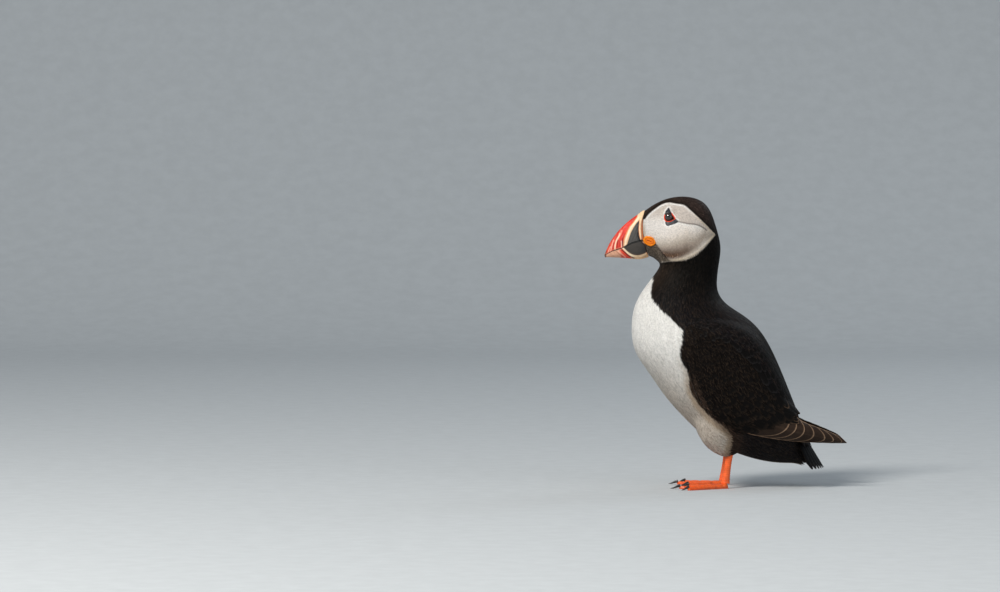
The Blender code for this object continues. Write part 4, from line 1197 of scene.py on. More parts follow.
def make_tail():
    """Twelve tail feathers in an arched fan, the middle pair on top, with coverts over and under them."""
    look = bpy.context.scene.puffin_plumage
    back, white = np.array(look.back), np.array(look.white)
    side = np.linspace(-0.92, 0.92, 12)
    depth = np.abs(np.arange(12) - 5.5) * 0.26
    table = feather_table(-0.1, 1 - 0.14 * side**2, side * 0.8, side, 0.2, 0.13, -0.55 - depth, 0.5)
    # The tail feathers at 0.6 of the back's tone are darkened by painted shade.
    paddles("tail_feathers", TAIL, table, 0.6 * back, "tail", fringe=0.06, seed=31, crown=0.4,
            unit_mm=TAIL_LONG)
    across = np.linspace(-0.85, 0.85, 11)
    for which, reach, lift, seed in (("upper", 0.5, 0.15, 33), ("under", 0.62, -3.3, 34)):
        rng = np.random.default_rng(seed)
        table = np.concatenate([
            feather_table(start, end + rng.normal(0, 0.03, 11), across, across, 0.17, 0.13,
                          lift + (0.35 - 0.2 * row) * np.sign(lift + 0.5), 0.4)
            for row, (start, end) in enumerate(((-0.14, reach * 0.6), (0.0, reach * 0.85), (0.12, reach)))
        ])
        middle = np.abs(table[:, 3:4]) < 0.3  # white under the tail
        # The white under the tail is dimmed to 0.8 by painted shade.
        colour = np.where(middle & (lift < 0), white * 0.8, back)
        paddles("tail_coverts_" + which, TAIL, table, colour, "tail", rows=7, columns=5, seed=seed,
                unit_mm=TAIL_LONG)


# The bill's markings in the side view: lines and outlines, x and z.
MOUTH = ((-89.9, 171.3), (-84.4, 174.6), (-77.0, 176.9), (-69.6, 180.8), (-62.9, 182.4), (-56.0, 182.6))
BAND_FRONT = ((-65.0, 201.6), (-66.6, 199.2), (-69.3, 195.5), (-71.7, 192.8), (-73.3, 189.7), (-74.8, 186.0),
              (-75.9, 182.8), (-76.3, 179.4), (-76.6, 176.8))
BAND_BACK = ((-62.6, 200.0), (-63.8, 198.1), (-66.4, 195.2), (-68.5, 192.1), (-70.6, 188.1), (-72.2, 183.3),
             (-73.0, 180.4), (-73.8, 178.6), (-74.8, 177.3))
SLATE_BACK = ((-63.2, 199.0), (-64.3, 197.3), (-65.2, 194.7), (-65.6, 192.0), (-65.6, 189.4), (-65.1, 186.0),
              (-64.3, 183.4), (-63.5, 182.3))
DARK_LINE = ((-75.4, 187.3), (-76.4, 184.9), (-76.7, 182.8), (-76.6, 180.2), (-76.4, 177.9))
# Pale grooves and the dark red lines behind them, with their colours and half widths.
GROOVES = (
    (((-78.6, 187.4), (-79.3, 185.5), (-80.9, 182.8), (-82.0, 179.4), (-82.2, 176.2), (-81.6, 174.9)),
     (250, 226, 192), 0.5),
    (((-83.3, 182.6), (-84.3, 179.4), (-84.9, 176.8), (-85.4, 174.4)), (240, 170, 148), 0.42),
    (((-85.6, 177.6), (-87.2, 173.9)), (236, 176, 156), 0.3),
    (((-77.6, 182.0), (-77.4, 179.4), (-77.3, 176.8)), (240, 210, 188), 0.34),
    (((-80.0, 182.4), (-80.5, 179.4), (-80.4, 176.0)), (140, 18, 18), 0.4),
    (((-82.8, 180.6), (-83.7, 177.5), (-83.5, 174.9)), (150, 22, 20), 0.38),
    (((-70.4, 195.8), (-73.4, 192.4), (-75.8, 188.2), (-77.0, 185.4)), (214, 34, 28), 0.5),
    (((-77.2, 189.6), (-78.2, 187.0)), (240, 150, 130), 0.6),
)
LOW_RED = ((-78.0, 175.2), (-74.8, 172.6), (-71.7, 170.2))
LOW_DARK = ((-77.2, 175.5), (-74.8, 173.5), (-72.2, 171.1), (-68.0, 169.4))
LOW_PALE = ((-79.6, 174.6), (-76.95, 172.3), (-74.4, 170.1))
LOW_BROWN = ((-81.2, 174.4), (-78.5, 172.0), (-76.0, 170.0))
LOW_CREAM = ((-76.6, 177.0), (-75.9, 176.4), (-73.3, 173.8), (-70.6, 171.8), (-68.0, 170.9), (-65.3, 170.7),
             (-62.7, 171.2), (-59.8, 172.3), (-57.9, 173.4))
LOW_BASE = ((-63.5, 182.3), (-61.4, 180.4), (-60.2, 178.7), (-59.0, 174.9), (-57.7, 172.7), (-56.4, 170.8))


def x_of(line, z):
    """Where a line that runs down the bill is at a height."""
    line = np.array(sorted(line, key=lambda point: point[1]))
    return np.interp(z, line[:, 1], line[:, 0])


def upper_paint(points):
    """Colour and relief of the upper mandible: from the face forwards a brown line, the cream ridge's foot,
    slate, the cream band and the red tip with its grooves. A painted shadow lies where the ridge meets the
    slate and along the mouth's slit, and a painted highlight along the culmen."""
    look = bpy.context.scene.puffin_bill
    red, cream, slate, tip = (np.array(c) for c in (look.red, look.cream, look.slate, look.tip))
    x, _, z = np.moveaxis(points, -1, 0)
    # A brighter red patch along the culmen in the middle of the bill: a painted highlight.
    culmen_highlight = np.exp(-(((x + 74.0) / 5.0) ** 2) - ((z - 193.0) / 7.0) ** 2)
    tone = mix(red, srgb(226, 56, 38), 0.5 * culmen_highlight)
    tone = mix(tone, srgb(184, 74, 46), 0.5 * step(-x, 81, 88))
    relief = np.zeros_like(x)
    front, back, base = (x - x_of(line, z) for line in (BAND_FRONT, BAND_BACK, SLATE_BACK))
    # Growth lines run beside the band, paler and deeper red in turn.
    growth = np.sin(front * 3.3 + 0.9 * np.sin(front * 1.3) + 0.35 * np.sin(z * 0.9))
    tone = mix(tone, srgb(238, 128, 104), 0.16 * np.clip(growth, 0, 1) * step(-z, -200, -190))
    tone = tone * (1 - 0.12 * np.clip(-growth, 0, 1))[..., None]
    relief += 0.05 * growth
    band = step(front, -0.2, 0.2)
    middle = hump(front - 1.7, 0.7) * step(z, 176, 180)
    peach = mix(srgb(214, 124, 70), cream, step(front, 0.4, 1.5))
    peach = mix(peach, srgb(206, 160, 122), 0.6 * step(-z, -190, -178))
    peach = mix(peach, srgb(250, 232, 204), 0.6 * middle)
    tone = mix(tone, peach, band)
    relief += 0.28 * step(front, -0.25, 0.35) * (1 - step(back, -0.3, 0.3))
    away = line_distance(x, z, DARK_LINE)
    dark = hump(away, 0.42)
    tone = mix(tone, mix(srgb(120, 14, 14), srgb(40, 22, 34), step(-z, -184, -181)), 0.92 * dark)
    relief -= 0.22 * dark
    # Where the slate meets the cream ridge it darkens and ends in a black line and a dark gap before the
    # ridge's brown foot: painted shadow.
    in_slate = step(back, -0.15, 0.2)
    shaded = mix(slate * 1.2, slate * 0.6, step(base, -2.6, -0.6))
    shaded = mix(shaded, srgb(34, 36, 46), 0.6 * hump(back - 0.3, 0.3))
    tone = mix(tone, shaded, in_slate)
    outline = hump(base + 0.2, 0.3 + 0.2 * step(-z, -192, -184), 4)
    tone = mix(tone, srgb(14, 11, 16), in_slate * 0.95 * outline)
    behind = step(base, 0.1, 0.4)
    gap = mix(srgb(30, 20, 20), srgb(170, 96, 52), step(base, 0.7, 1.3))
    tone = mix(tone, mix(gap, cream * 0.9, step(z, 198.0, 200.0)), behind)
    tone = mix(tone, srgb(232, 200, 162), step(z, 199.0, 200.4) * step(x, -66.0, -65.0))
    for line, colour, half in GROOVES:
        away = line_distance(x, z, drawn(line, 12) if len(line) > 2 else np.array(line))
        pale = hump(away, half)
        tone = mix(tone, srgb(*colour), 0.88 * pale)
        relief += (0.10 if sum(colour) > 300 else -0.2) * pale
    tone = mix(tone, tip, step(-x, 88.0, 89.4) * 0.85)
    mouth = z - height_of(MOUTH, x)
    thick = 0.35 + 0.35 * step(x, -77.0, -74.0)
    tone = mix(tone, srgb(196, 132, 104), 0.5 * hump(mouth - 0.8, 0.4) * step(-x, 77, 79))
    # Painted shade along the mouth's slit between the mandibles.
    tone = mix(tone, tone * 0.15, step(-mouth, -thick - 0.1, 0.1 - thick))
    return tone, relief


def lower_paint(points):
    """Colour and relief of the lower mandible: slate with a cream border below, then dark and bright red
    lines and the mottled horny tip."""
    look = bpy.context.scene.puffin_bill
    red, cream, slate = (np.array(c) for c in (look.red, look.cream, look.slate))
    x, _, z = np.moveaxis(points, -1, 0)
    mottle = np.sin(x * 4.1 + 2.0 * np.sin(z * 3.7)) * np.sin(z * 5.3 + 1.7 * np.sin(x * 2.9))
    horn = mix(srgb(206, 156, 128), srgb(150, 96, 74), 0.35 * np.clip(mottle, 0, 1))
    tone = mix(red, horn, step(-x, 76.4, 79.0))
    relief = np.zeros_like(x)
    for line, colour, half, share in (
        (LOW_BROWN, (150, 84, 64), 0.4, 0.6),
        (LOW_PALE, (236, 166, 142), 0.45, 0.8),
        (LOW_RED, (222, 70, 46), 0.9, 0.9),
    ):
        tone = mix(tone, srgb(*colour), share * hump(line_distance(x, z, line), half))
    cream_line = drawn(LOW_CREAM, 24)
    away = line_distance(x, z, cream_line)
    border_z = height_of(cream_line, x)
    below = step(border_z - z, -0.3, 0.4) * step(x, -71.5, -69.0)
    tone = mix(tone, srgb(222, 176, 130), below)
    mouth = height_of(MOUTH, x) - z
    from_base = x - x_of(LOW_BASE, z)
    shaded = mix(slate * (1.0, 0.92, 0.86), slate * 0.7, step(x, -66, -61))
    shaded = mix(shaded, srgb(96, 72, 58), 0.5 * step(border_z - z, -2.4, -0.6))
    tone = mix(tone, shaded, step(z - border_z, -0.2, 0.3) * step(x, -76.2, -75.4))
    narrow = 0.85 - 0.2 * step(-x, 70, 74)
    band = hump(away, narrow, 4)
    tone = mix(tone, mix(cream, srgb(246, 224, 190), step(-x, 66, 70)), 0.95 * band)
    relief += 0.22 * band
    dark = hump(line_distance(x, z, LOW_DARK), 0.45)
    tone = mix(tone, srgb(66, 8, 10), 0.92 * dark)
    relief -= 0.18 * dark
    base = line_distance(x, z, drawn(LOW_BASE, 20))
    orange = step(from_base, -1.8, -0.9) * step(-z, -174.5, -172.5)
    tone = mix(tone, srgb(222, 146, 92), 0.7 * orange)
    tone = mix(tone, srgb(176, 136, 108), step(from_base, 0.2, 0.5))
    tone = mix(tone, srgb(46, 8, 10), 0.95 * hump(base, 0.42, 4))
    relief -= 0.15 * hump(base, 0.5)
    tone = mix(tone, srgb(50, 32, 30), step(-x, 88.0, 89.2) * 0.85)
    thick = 0.15 + 0.4 * step(x, -77.0, -74.0)
    # Painted shade along the mouth's slit between the mandibles.
    tone = mix(tone, tone * 0.15, step(-mouth, -thick - 0.15, -thick))
    return tone, relief


def mouth_turn(t):
    """The angle at which each of the bill's ribs meets the mouth line."""
    turn = np.linspace(0.4, np.pi - 0.15, 120)
    rib = loft(BILL_RIBS, t[:, None], turn)
    gap = rib[..., 2] - height_of(MOUTH, rib[..., 0])
    first = np.argmax(gap < 0, axis=1)
    rows = np.arange(len(t))
    high, low = gap[rows, first - 1], gap[rows, first]
    return turn[first - 1] + (turn[1] - turn[0]) * high / (high - low)


def bill_surface(t, turn):
    """Points of the bill, with its base bowed forwards at the sides as the face is, and its tip rounded."""
    points = bow(loft(BILL_RIBS, t, turn), t, turn, 2.6, 2.0)
    at_tip = np.clip(t - 5.6, 0, 0.4) / 0.4
    points[..., 1] *= np.sqrt(np.clip(1 - 0.9 * at_tip**2, 0, 1))
    return points


def mandible(name, above, paint, stands_for):
    """Half of the bill: its outer surface from one edge of the mouth to the other with the painted relief,
    the mouth's edges rolled in, and the floor between them. Rows run from the base to the tip."""
    t = np.linspace(0.0, 6.0, 170)
    middle_turn, way, columns = (0, 1, 200) if above else (np.pi, -1, 130)
    share = np.linspace(-1, 1, columns)
    share = np.sign(share) * (1 - (1 - np.abs(share)) ** 1.15)
    turn = middle_turn + np.abs(mouth_turn(t) - middle_turn)[:, None] * share
    points = bill_surface(t[:, None], turn)
    normal = unit(np.cross(np.gradient(points, axis=1), np.gradient(points, axis=0)))
    if np.sum(normal * (points - points.mean(axis=1, keepdims=True))) < 0:
        normal = -normal
    tone, relief = paint(points)
    edge = 1 - np.abs(share)
    fade = np.clip(np.abs(points[..., 1]), 0.25, 1) * np.clip(edge / 0.05, 0.2, 1)
    points = points + normal * (relief * fade)[..., None]
    points[..., 2] += 0.12 * way * (edge < 0.02) * np.clip(6.0 - t, 0, 1)[:, None]
    inner = points[:, [-1, 0]].copy()
    inner[..., 1] *= 0.45
    inner[..., 2] += 0.5 * way * np.clip((6.0 - t) / 1.2, 0.02, 1)[:, None]
    tone = np.concatenate([tone, np.broadcast_to(srgb(96, 30, 26), inner.shape)], axis=1)
    tube_piece(name, np.concatenate([points, inner], axis=1), tone, "horn", "bill_horn", stands_for)


def make_bill():
    """The upper and lower mandible, the fleshy ridge round the base of the upper one, and the rosettes."""
    mandible("bill_upper_horn", True, upper_paint, ("bill_upper",))
    mandible("bill_lower_horn", False, lower_paint, ("bill_lower",))
    # The ridge: a bead across the bill's base, wider on top, pitted by small pores.
    limit = float(mouth_turn(np.array([0.42]))[0]) - 0.05
    turn = np.linspace(-limit, limit, 200)[:, None]
    top, lean = step(-np.abs(turn), -1.05, -0.55), step(-np.abs(turn), -1.4, -0.5)
    fine_end = np.clip((limit - np.abs(turn)) / 0.22, 0, 1) ** 0.5
    half = (0.19 + 0.09 * top) * (0.35 + 0.65 * fine_end)
    around = circle(28)
    t = 0.46 - 0.28 * lean - half * np.cos(around)
    place = bill_surface(t, turn)
    up, aside = bill_surface(t + 1e-3, turn) - place, bill_surface(t, turn + 1e-3) - place
    normal = unit(np.cross(aside, up))
    out = place * (0, 1, 0) + (0, 0, 1) * (place - (0, 0, 188.0))
    normal = normal * np.where(np.sum(normal * out, -1) < 0, -1, 1)[..., None]
    rise = np.sin(around)
    height = np.where(rise > 0, 0.85 * np.clip(rise, 0, 1) ** 0.7 * (1 - 0.35 * top), 0.9 * rise)
    height = height * (0.2 + 0.8 * fine_end)
    pores = 0.05 * np.sin(turn * 61.0) * np.clip(rise, 0, 1) * np.cos(around * 3.0 + turn * 23.0)
    tone = mix(np.array(bpy.context.scene.puffin_bill.cream), srgb(232, 196, 156), top)
    tone = mix(tone, srgb(206, 122, 70), 0.85 * step(-np.cos(around), 0.25, 0.75) * (1 - top))
    # The ridge's tone follows its pores, lighter where they rise and darker in the pits: painted light and
    # shade.
    tube_piece("bill_base_ridge", place + normal * (height + pores)[..., None],
               tone * (1 + 1.5 * pores)[..., None], "soft", "bill_cream", ("bill_ridge",))
    for side, sign in SIDES.items():
        make_rosette(side, sign)


def make_rosette(side, sign):
    """The fleshy fold at the corner of the mouth, over an ellipse on the face's own surface: a rounded outer
    lip, a furrow, and an inner pair of lips with a slit along the middle."""
    (x, z), long_half, high_half, tilt = ROSETTE, 4.7, 3.45, math.radians(-27)
    reach, around = np.linspace(0, 1, 30)[:, None], circle(120)
    run, rise = reach * long_half * np.cos(around), reach * high_half * np.sin(around)
    wobble = 1 + 0.025 * np.sin(around * 5 + 0.6) + 0.012 * np.sin(around * 11)
    dx = (run * math.cos(tilt) - rise * math.sin(tilt)) * wobble
    dz = (run * math.sin(tilt) + rise * math.cos(tilt)) * wobble
    surface = BODY.read(*on_head(x + dx, z + dz))[0][..., 1]
    bent = rise - 0.28 * np.sin(run * 0.9 + 0.5) + 0.05 * run
    slit = hump(bent, 0.16 + 0.2 * step(-run, -2.0, 2.4))
    slit = slit * step(-np.abs(run), -0.62 * long_half, -0.3 * long_half)
    line = 0.66 + 0.045 * np.sin(around * 2 + 0.8) + 0.02 * np.sin(around * 5 + 2.0)
    furrow = hump(reach - line, 0.05 + 0.025 * np.cos(around - 0.6))
    folds = np.sin(around * 17 + 2 * np.sin(around * 3)) * hump(reach - 0.84, 0.13)
    folds = folds + 0.9 * np.sin(run * 7.0 + 1.5 * np.sin(rise * 3.0)) * hump(reach - 0.42, 0.16) * (1 - slit)
    height = 1.15 * np.clip(1 - reach**5, 0, 1) ** 0.5 + 0.35 * hump(reach - 0.82, 0.12)
    height = height + 0.3 * hump(reach, 0.4) - 0.35 * furrow - 0.5 * slit + 0.035 * folds
    front = np.stack([x + dx, surface + height + 0.1, z + dz], -1)
    back = np.stack([x + dx * 0.96, surface - 1.2, z + dz * 0.96], -1)[::-1]
    tone = np.array(bpy.context.scene.puffin_bill.rosette)
    tone = mix(tone, srgb(206, 100, 8), 0.75 * step(-reach, -0.66, -0.6))
    # Darker in the furrow, in the folds' troughs and in the slit: painted shade.
    tone = mix(tone, srgb(150, 62, 8), np.clip(0.8 * furrow + 0.12 * np.clip(-folds, 0, 1), 0, 1))
    tone = mix(tone, srgb(110, 36, 8), 0.85 * slit)
    rings, tone = np.concatenate([front[1:], back[:-1]]), np.concatenate([tone[1:], tone[::-1][:-1]])
    tube_piece("rosette_fold_" + side, rings, tone, "soft", "rosette_skin", ("rosette_" + side,), sign)


def make_eyeball(look, side, sign):
    """The wet ball, in angle from its axis and angle round it, with the cornea raised over the iris."""
    away, around = np.linspace(0, np.pi, 50)[1:-1, None], circle(72)
    axis = unit(np.array([-0.10, 0.99, 0.03]))
    first = unit(np.cross(axis, (0, 0, 1.0)))
    second = np.cross(first, axis)
    ahead, over, aside = (np.cos(away), np.sin(away) * np.cos(around), np.sin(away) * np.sin(around))
    offset = ahead[..., None] * axis + over[..., None] * first + aside[..., None] * second
    rings = EYE + offset * (EYE_RADIUS + 0.30 * hump(away, 0.62, 4))[..., None]
    rays = 1 + 0.18 * np.sin(around * 23 + 2.0 * np.sin(away * 19))
    tone = mix(np.array((0.004, 0.004, 0.005)), np.array(look.iris) * rays[..., None], step(away, 0.36, 0.42))
    tone = mix(tone, np.array((0.01, 0.007, 0.006)), step(away, 0.78, 0.92))
    tube_piece("eyeball_" + side, rings, tone, "eye", "eye", ("eye_" + side,), sign)


def make_lid(look, side, sign):
    """The ring of the lids: a beaded roll round the ball's opening, drawn out to the corners."""
    rows, columns = len(LID_EDGE), 16
    turn, cross = circle(rows)[:, None], circle(columns)
    beads = 1 + 0.06 * np.sin(turn * 26)
    ahead = unit(np.roll(LID_EDGE, -1, axis=0) - np.roll(LID_EDGE, 1, axis=0))
    reach = np.where(np.cos(cross) < 0, 0.95, 0.42) * beads * np.cos(cross)
    run, rise = LID_EDGE[:, :1] + reach * ahead[:, 1:], LID_EDGE[:, 1:] - reach * ahead[:, :1]
    y = lid_plane(EYE[0] + run, EYE[2] + rise, EYE) + 0.42 * beads * np.sin(cross)
    y = y - 0.12 * (reach > 0) * reach - 0.45 * np.clip(-np.cos(cross), 0, 1) ** 2
    points = np.stack([EYE[0] + run, y, EYE[2] + rise], -1).reshape(-1, 3)
    tone = mix(np.array(look.ring), srgb(40, 12, 8), step(-np.cos(cross), 0.1, 0.5))
    row, last = np.arange(columns), (rows - 1) * columns
    after = (row + 1) % columns
    faces = [grid_faces(rows, columns, wrap=True), np.stack([last + row, row, after, last + after], -1)]
    solid_piece("eye_ring_" + side, points, faces, np.tile(tone, (rows, 1)), "soft", "eye_plates",
                ("eye_plate_lower_" + side,), sign)


def make_plate(look, side, sign, which, edge, thick, over):
    """A horny plate over its outline on the face: domed, faintly grained, and raised over the ring's edge."""
    middle = edge.mean(axis=0)
    reach = np.linspace(0.08, 1, 12)
    x, z = np.moveaxis(middle + (edge - middle) * reach[:, None, None], -1, 0)
    place = BODY.read(*on_head(x, z))[0]
    grain = 0.02 * np.sin(x * 5.0 + 1.3 * np.sin(z * 4.0))
    from_ring = within(x - EYE[0], z - EYE[2], LID_EDGE)
    level = hump(np.minimum(from_ring, 0), 1.6) * np.maximum(lid_plane(x, z, EYE) - place[..., 1], 0)
    rise = thick * (1 - (reach**3)[:, None]) * (1 + grain) + 0.15 + level + over * step(from_ring, -1.4, -0.2)
    rings = np.concatenate([place + rise[..., None] * (0, 1, 0), (place - (0, 0.9, 0))[::-1]])
    tone = np.array(look.plate) * np.ones(rings.shape)
    tone[: len(reach)] *= (1.15 - 0.3 * reach**4)[:, None, None]
    tube_piece(f"eye_plate_horn_{which}_{side}", rings, tone, "plate", "eye_plates",
               (f"eye_plate_{which}_{side}",), sign)


def make_eyes():
    """Each eye: a wet ball with iris and pupil, the red ring of its lids, and the two slate plates."""
    look = bpy.context.scene.puffin_eyes
    for side, sign in SIDES.items():
        make_eyeball(look, side, sign)
        make_lid(look, side, sign)
        make_plate(look, side, sign, "upper", UPPER_PLATE_EDGE, 0.6, 0.4)
        make_plate(look, side, sign, "lower", LOWER_PLATE_EDGE, 0.55, 0.05)


def fan_place(radius, angle):
    """Ground x and outward y of a place on the right foot's fan, whose centre line points forwards."""
    heading = angle + math.radians(FOOT_TURN)
    x = BALL[0] + HEEL_RADIUS * 0.6 - radius * np.cos(heading)
    return x, LEG_OUT + radius * np.sin(heading) + HEEL_RADIUS * np.sin(angle) * 1.6


def foot_height(radius, angle):
    """The height of the foot's top: a thin rippled web, a ridge along each toe with pads between its joints
    and rows of scutes across it, and the ball. Also the share by which each place is on a toe."""
    web = 0.75 + 0.10 * np.sin(angle * 60) * step(radius, 8, 20)
    high = web + 3.4 * hump(radius, 5.5, 4)
    on_toe = np.zeros_like(high)
    for toe_angle, length, _ in TOES.values():
        off = radius * np.sin(angle - math.radians(toe_angle))
        joints = 1 - 0.16 * sum(hump(radius - joint * length, 1.3) for joint in JOINTS)
        scutes = 1 + 0.06 * np.abs(np.sin(radius * 2.6))
        wide = hump(off, 1.75, 4)
        toe = 0.75 + 2.2 * (1 - 0.42 * radius / length) * joints * scutes * wide
        on_toe = np.maximum(on_toe, wide)
        high = np.maximum(high, toe)
    heel = np.sqrt(np.clip(1 - (1 - np.clip(radius / 3.4, 0, 1)) ** 2, 0, 1))
    return 0.4 + (high - 0.4) * (0.25 + 0.75 * heel), on_toe


def make_shank(look, side, sign):
    """The bare leg: rings down the shank, with rows of scutes as small steps."""
    s, turn = np.linspace(-0.22, 1.0, 90)[:, None], circle(48)
    x, z = (ANKLE[i] * (1 - s) + BALL[i] * s for i in (0, 1))
    z = z - 1.0 * step(s, 0.9, 1.0)
    scutes = np.abs(np.sin(s * 34 * np.pi / 2))
    swell = (1 + 0.28 * (2 * np.clip(s, 0, 1) - 1) ** 2) * (1 + 0.035 * scutes)
    swell = swell * (1 + 0.05 * np.cos(turn * 2) ** 2 * np.sin(s * 40) ** 2)
    y = LEG_OUT + 1.7 * swell * np.sin(turn)
    rings = np.stack([x + 2.35 * swell * np.cos(turn), y, z + 0 * turn], -1)
    tone = np.array(look.skin) * (0.92 + 0.12 * scutes)[..., None]
    tone = mix(tone, np.array(look.web) * 0.6, 0.5 * step(-s, -0.12, 0.05))
    tube_piece("shank_" + side, rings, tone, "skin", "foot_skin", ("tarsus_" + side,), sign)


def make_foot(look, side, sign):
    """The webbed foot: a height field over a fan, its web's edge drawn in between the toes."""
    orange, web_tone, rows, columns = np.array(look.skin), np.array(look.web), 80, 141
    angles = [math.radians(a) for a, _, _ in TOES.values()]
    lengths = [length for _, length, _ in TOES.values()]
    angle = np.linspace(angles[0] - 0.075, angles[-1] + 0.075, columns)
    held = np.clip(angle, angles[0], angles[-1])
    gaps = np.interp(held, angles, range(len(angles)))
    reach = np.interp(held, angles, lengths) * (1 - WEB_NOTCH * np.sin(np.pi * (gaps % 1)) ** 0.7)
    share = np.linspace(0, 1, rows)[:, None]
    radius = share * reach * np.cos(angle - held)
    x, y = fan_place(radius, angle)
    high, on_toe = foot_height(radius, angle)
    lip = np.clip((1 - share) / 0.03, 0, 1) ** 0.5
    top = np.stack([x, y, 0.35 + (high - 0.35) * (0.35 + 0.65 * lip)], -1)
    tone = mix(web_tone, orange, np.clip(on_toe + hump(radius, 6.5, 4), 0, 1))
    crease = sum(hump(radius - joint * 35, 0.9) for joint in JOINTS) * on_toe
    tone = mix(tone, web_tone * 0.55, 0.4 * np.clip(crease, 0, 1))
    points = np.concatenate([top.reshape(-1, 3), (top * (1, 1, 0)).reshape(-1, 3)])
    solid_piece("web_foot_" + side, points, [blade_grid(rows, columns)], np.stack([tone, tone]), "skin",
                "foot_skin", ("foot_" + side,), sign)


def make_claw(look, side, sign, toe):
    """A claw: a tapering curved horn, narrow above and grooved below."""
    toe_angle, length, claw = TOES[toe]
    s, turn = np.linspace(0, 1, 30)[:, None], circle(24)
    heading = math.radians(toe_angle)
    x, y = fan_place(length - 1.1 + (claw + 1.1) * s, heading)
    thick = 1.15 * (1 - 0.9 * s**1.3)
    z = 0.3 + thick + 1.0 * np.sin(np.pi * np.clip(s + 0.28, 0, 1)) * (1 - s)
    wide = 0.8 * thick * np.cos(turn)
    turned = heading + math.radians(FOOT_TURN)
    rings = np.stack([x + wide * math.sin(turned), y + wide * math.cos(turned), z + thick * np.sin(turn)], -1)
    tone = np.array(look.claw) * (1 + 0.5 * step(s, 0.7, 1.0))[..., None]
    tube_piece(f"claw_horn_{side}_{toe}", rings, tone, "claw", "claw_horn", (f"claw_{side}_{toe}",), sign)


def make_feet():
    """Each bare leg and webbed foot with its claws, all resting on the ground."""
    look = bpy.context.scene.puffin_feet
    for side, sign in SIDES.items():
        make_shank(look, side, sign)
        make_foot(look, side, sign)
        for toe in TOES:
            make_claw(look, side, sign, toe)


def aim(made, place, target):
    """Puts a lamp or camera at a place, looking at the target."""
    made.location = place
    made.rotation_euler = (target - Vector(place)).to_track_quat("-Z", "Y").to_euler()


def make_stage():
    """A pale floor that curves up far behind, soft lights, and the camera. Places are in metres."""
    look = bpy.context.scene.puffin_stage
    rows, columns = 120, 31
    across, run = np.linspace(-4.5, 4.5, columns), np.linspace(-5.5, 6.0, rows)[:, None]
    high = 1.6 * np.clip((run - 2.2) / 1.6, 0, None) ** 2
    points = np.stack(np.broadcast_arrays(across, np.minimum(run, 4.6), high), -1)
    mesh = bpy.data.meshes.new("floor")
    mesh.from_pydata(points.reshape(-1, 3).tolist(), [], grid_faces(rows, columns)[:, ::-1].tolist())
    mesh.polygons.foreach_set("use_smooth", np.ones(len(mesh.polygons), bool))
    mesh.materials.append(plain_material("pale_floor", tuple(look.floor), 0.9, 60.0))
    floor = put_object("floor", mesh)
    bpy.context.scene.view_settings.view_transform = "Standard"
    world = bpy.data.worlds.new("pale_world")
    bpy.context.scene.world = world
    world.use_nodes = True
    back = world.node_tree.nodes["Background"]
    feed(world.node_tree, back, {"Color": (0.86, 0.93, 1.0, 1.0), "Strength": look.sky})
    for name, place, size, power, colour in (
        ("key", (-1.5, -1.7, 2.0), 0.9, 1.0, (1.0, 0.965, 0.91)),
        ("fill", (1.9, -2.2, 0.9), 1.8, 0.12, (0.92, 0.96, 1.0)),
        ("rim", (1.3, 1.8, 1.5), 1.0, 0.09, (0.85, 0.93, 1.0)),
    ):
        light = bpy.data.lights.new(name, "AREA")
        light.shape, light.size, light.energy, light.color = "DISK", size, look.key * power, colour
        aim(put_object(name, light), place, Vector((-0.01, 0.0, 0.12)))
    camera = bpy.data.cameras.new("camera")
    camera.lens, camera.sensor_width, camera.sensor_fit = look.lens, 36.0, "HORIZONTAL"
    camera.clip_end = 50.0
    target = Vector((-0.1672, 0.0, 0.1413))
    away = 0.740 * look.lens / camera.sensor_width
    eye = put_object("camera", camera)
    aim(eye, target + Vector((0, -math.cos(look.tilt), math.sin(look.tilt))) * away, target)
    bpy.context.scene.camera = eye


# The add-on.


def colour_property(name, description, colour):
    """A colour that a user can pick."""
    return FloatVectorProperty(name=name, description=description, subtype="COLOR", size=3, min=0, max=1,
                               default=tuple(float(c) for c in colour))


class PlumageSettings(PropertyGroup):
    """Sizes and colours of the feathers."""

    depth: FloatProperty(
        name="Coat depth", description="How deep the skin lies, as a share of the usual depth",
        default=1.0, min=0.5, max=1.5, subtype="FACTOR")
    fullness: FloatProperty(
        name="Fullness", description="Number of locks, as a share of the usual number",
        default=1.0, min=0.1, max=1.2, subtype="FACTOR")
    white: colour_property("White", "Breast and belly", WHITE)
    wing: colour_property("Wing", "Coverts and inner flight feathers", WING_BLACK)
    primaries: colour_property("Primaries", "Outer flight feathers", srgb(46, 35, 28))
    back: colour_property("Back", "Back and tail", BACK_BLACK)


class BillSettings(PropertyGroup):
    """Colours of the bill."""

    red: colour_property("Red", "The front of the bill", srgb(200, 50, 34))
    cream: colour_property("Cream", "Ridge and band", srgb(228, 194, 156))
    slate: colour_property("Slate", "The plate at the bill's base", srgb(60, 58, 56))
    tip: colour_property("Tip", "The bill's tip", srgb(70, 40, 34))
    rosette: colour_property("Rosette", "The fold at the corner of the mouth", srgb(234, 130, 0))


class EyeSettings(PropertyGroup):
    """Colours of the eyes."""

    iris: colour_property("Iris", "The ring round the pupil", srgb(52, 34, 26))
    ring: colour_property("Lid ring", "The bare ring round the eye", srgb(226, 66, 26))
    plate: colour_property("Plates", "The horny plates above and below the eye", srgb(34, 36, 42))


class FootSettings(PropertyGroup):
    """Colours of legs and feet."""

    skin: colour_property("Skin", "Shanks and toes", srgb(236, 98, 34))
    web: colour_property("Web", "The skin between the toes", srgb(206, 74, 28))
    claw: colour_property("Claws", "The claws", srgb(34, 30, 30))


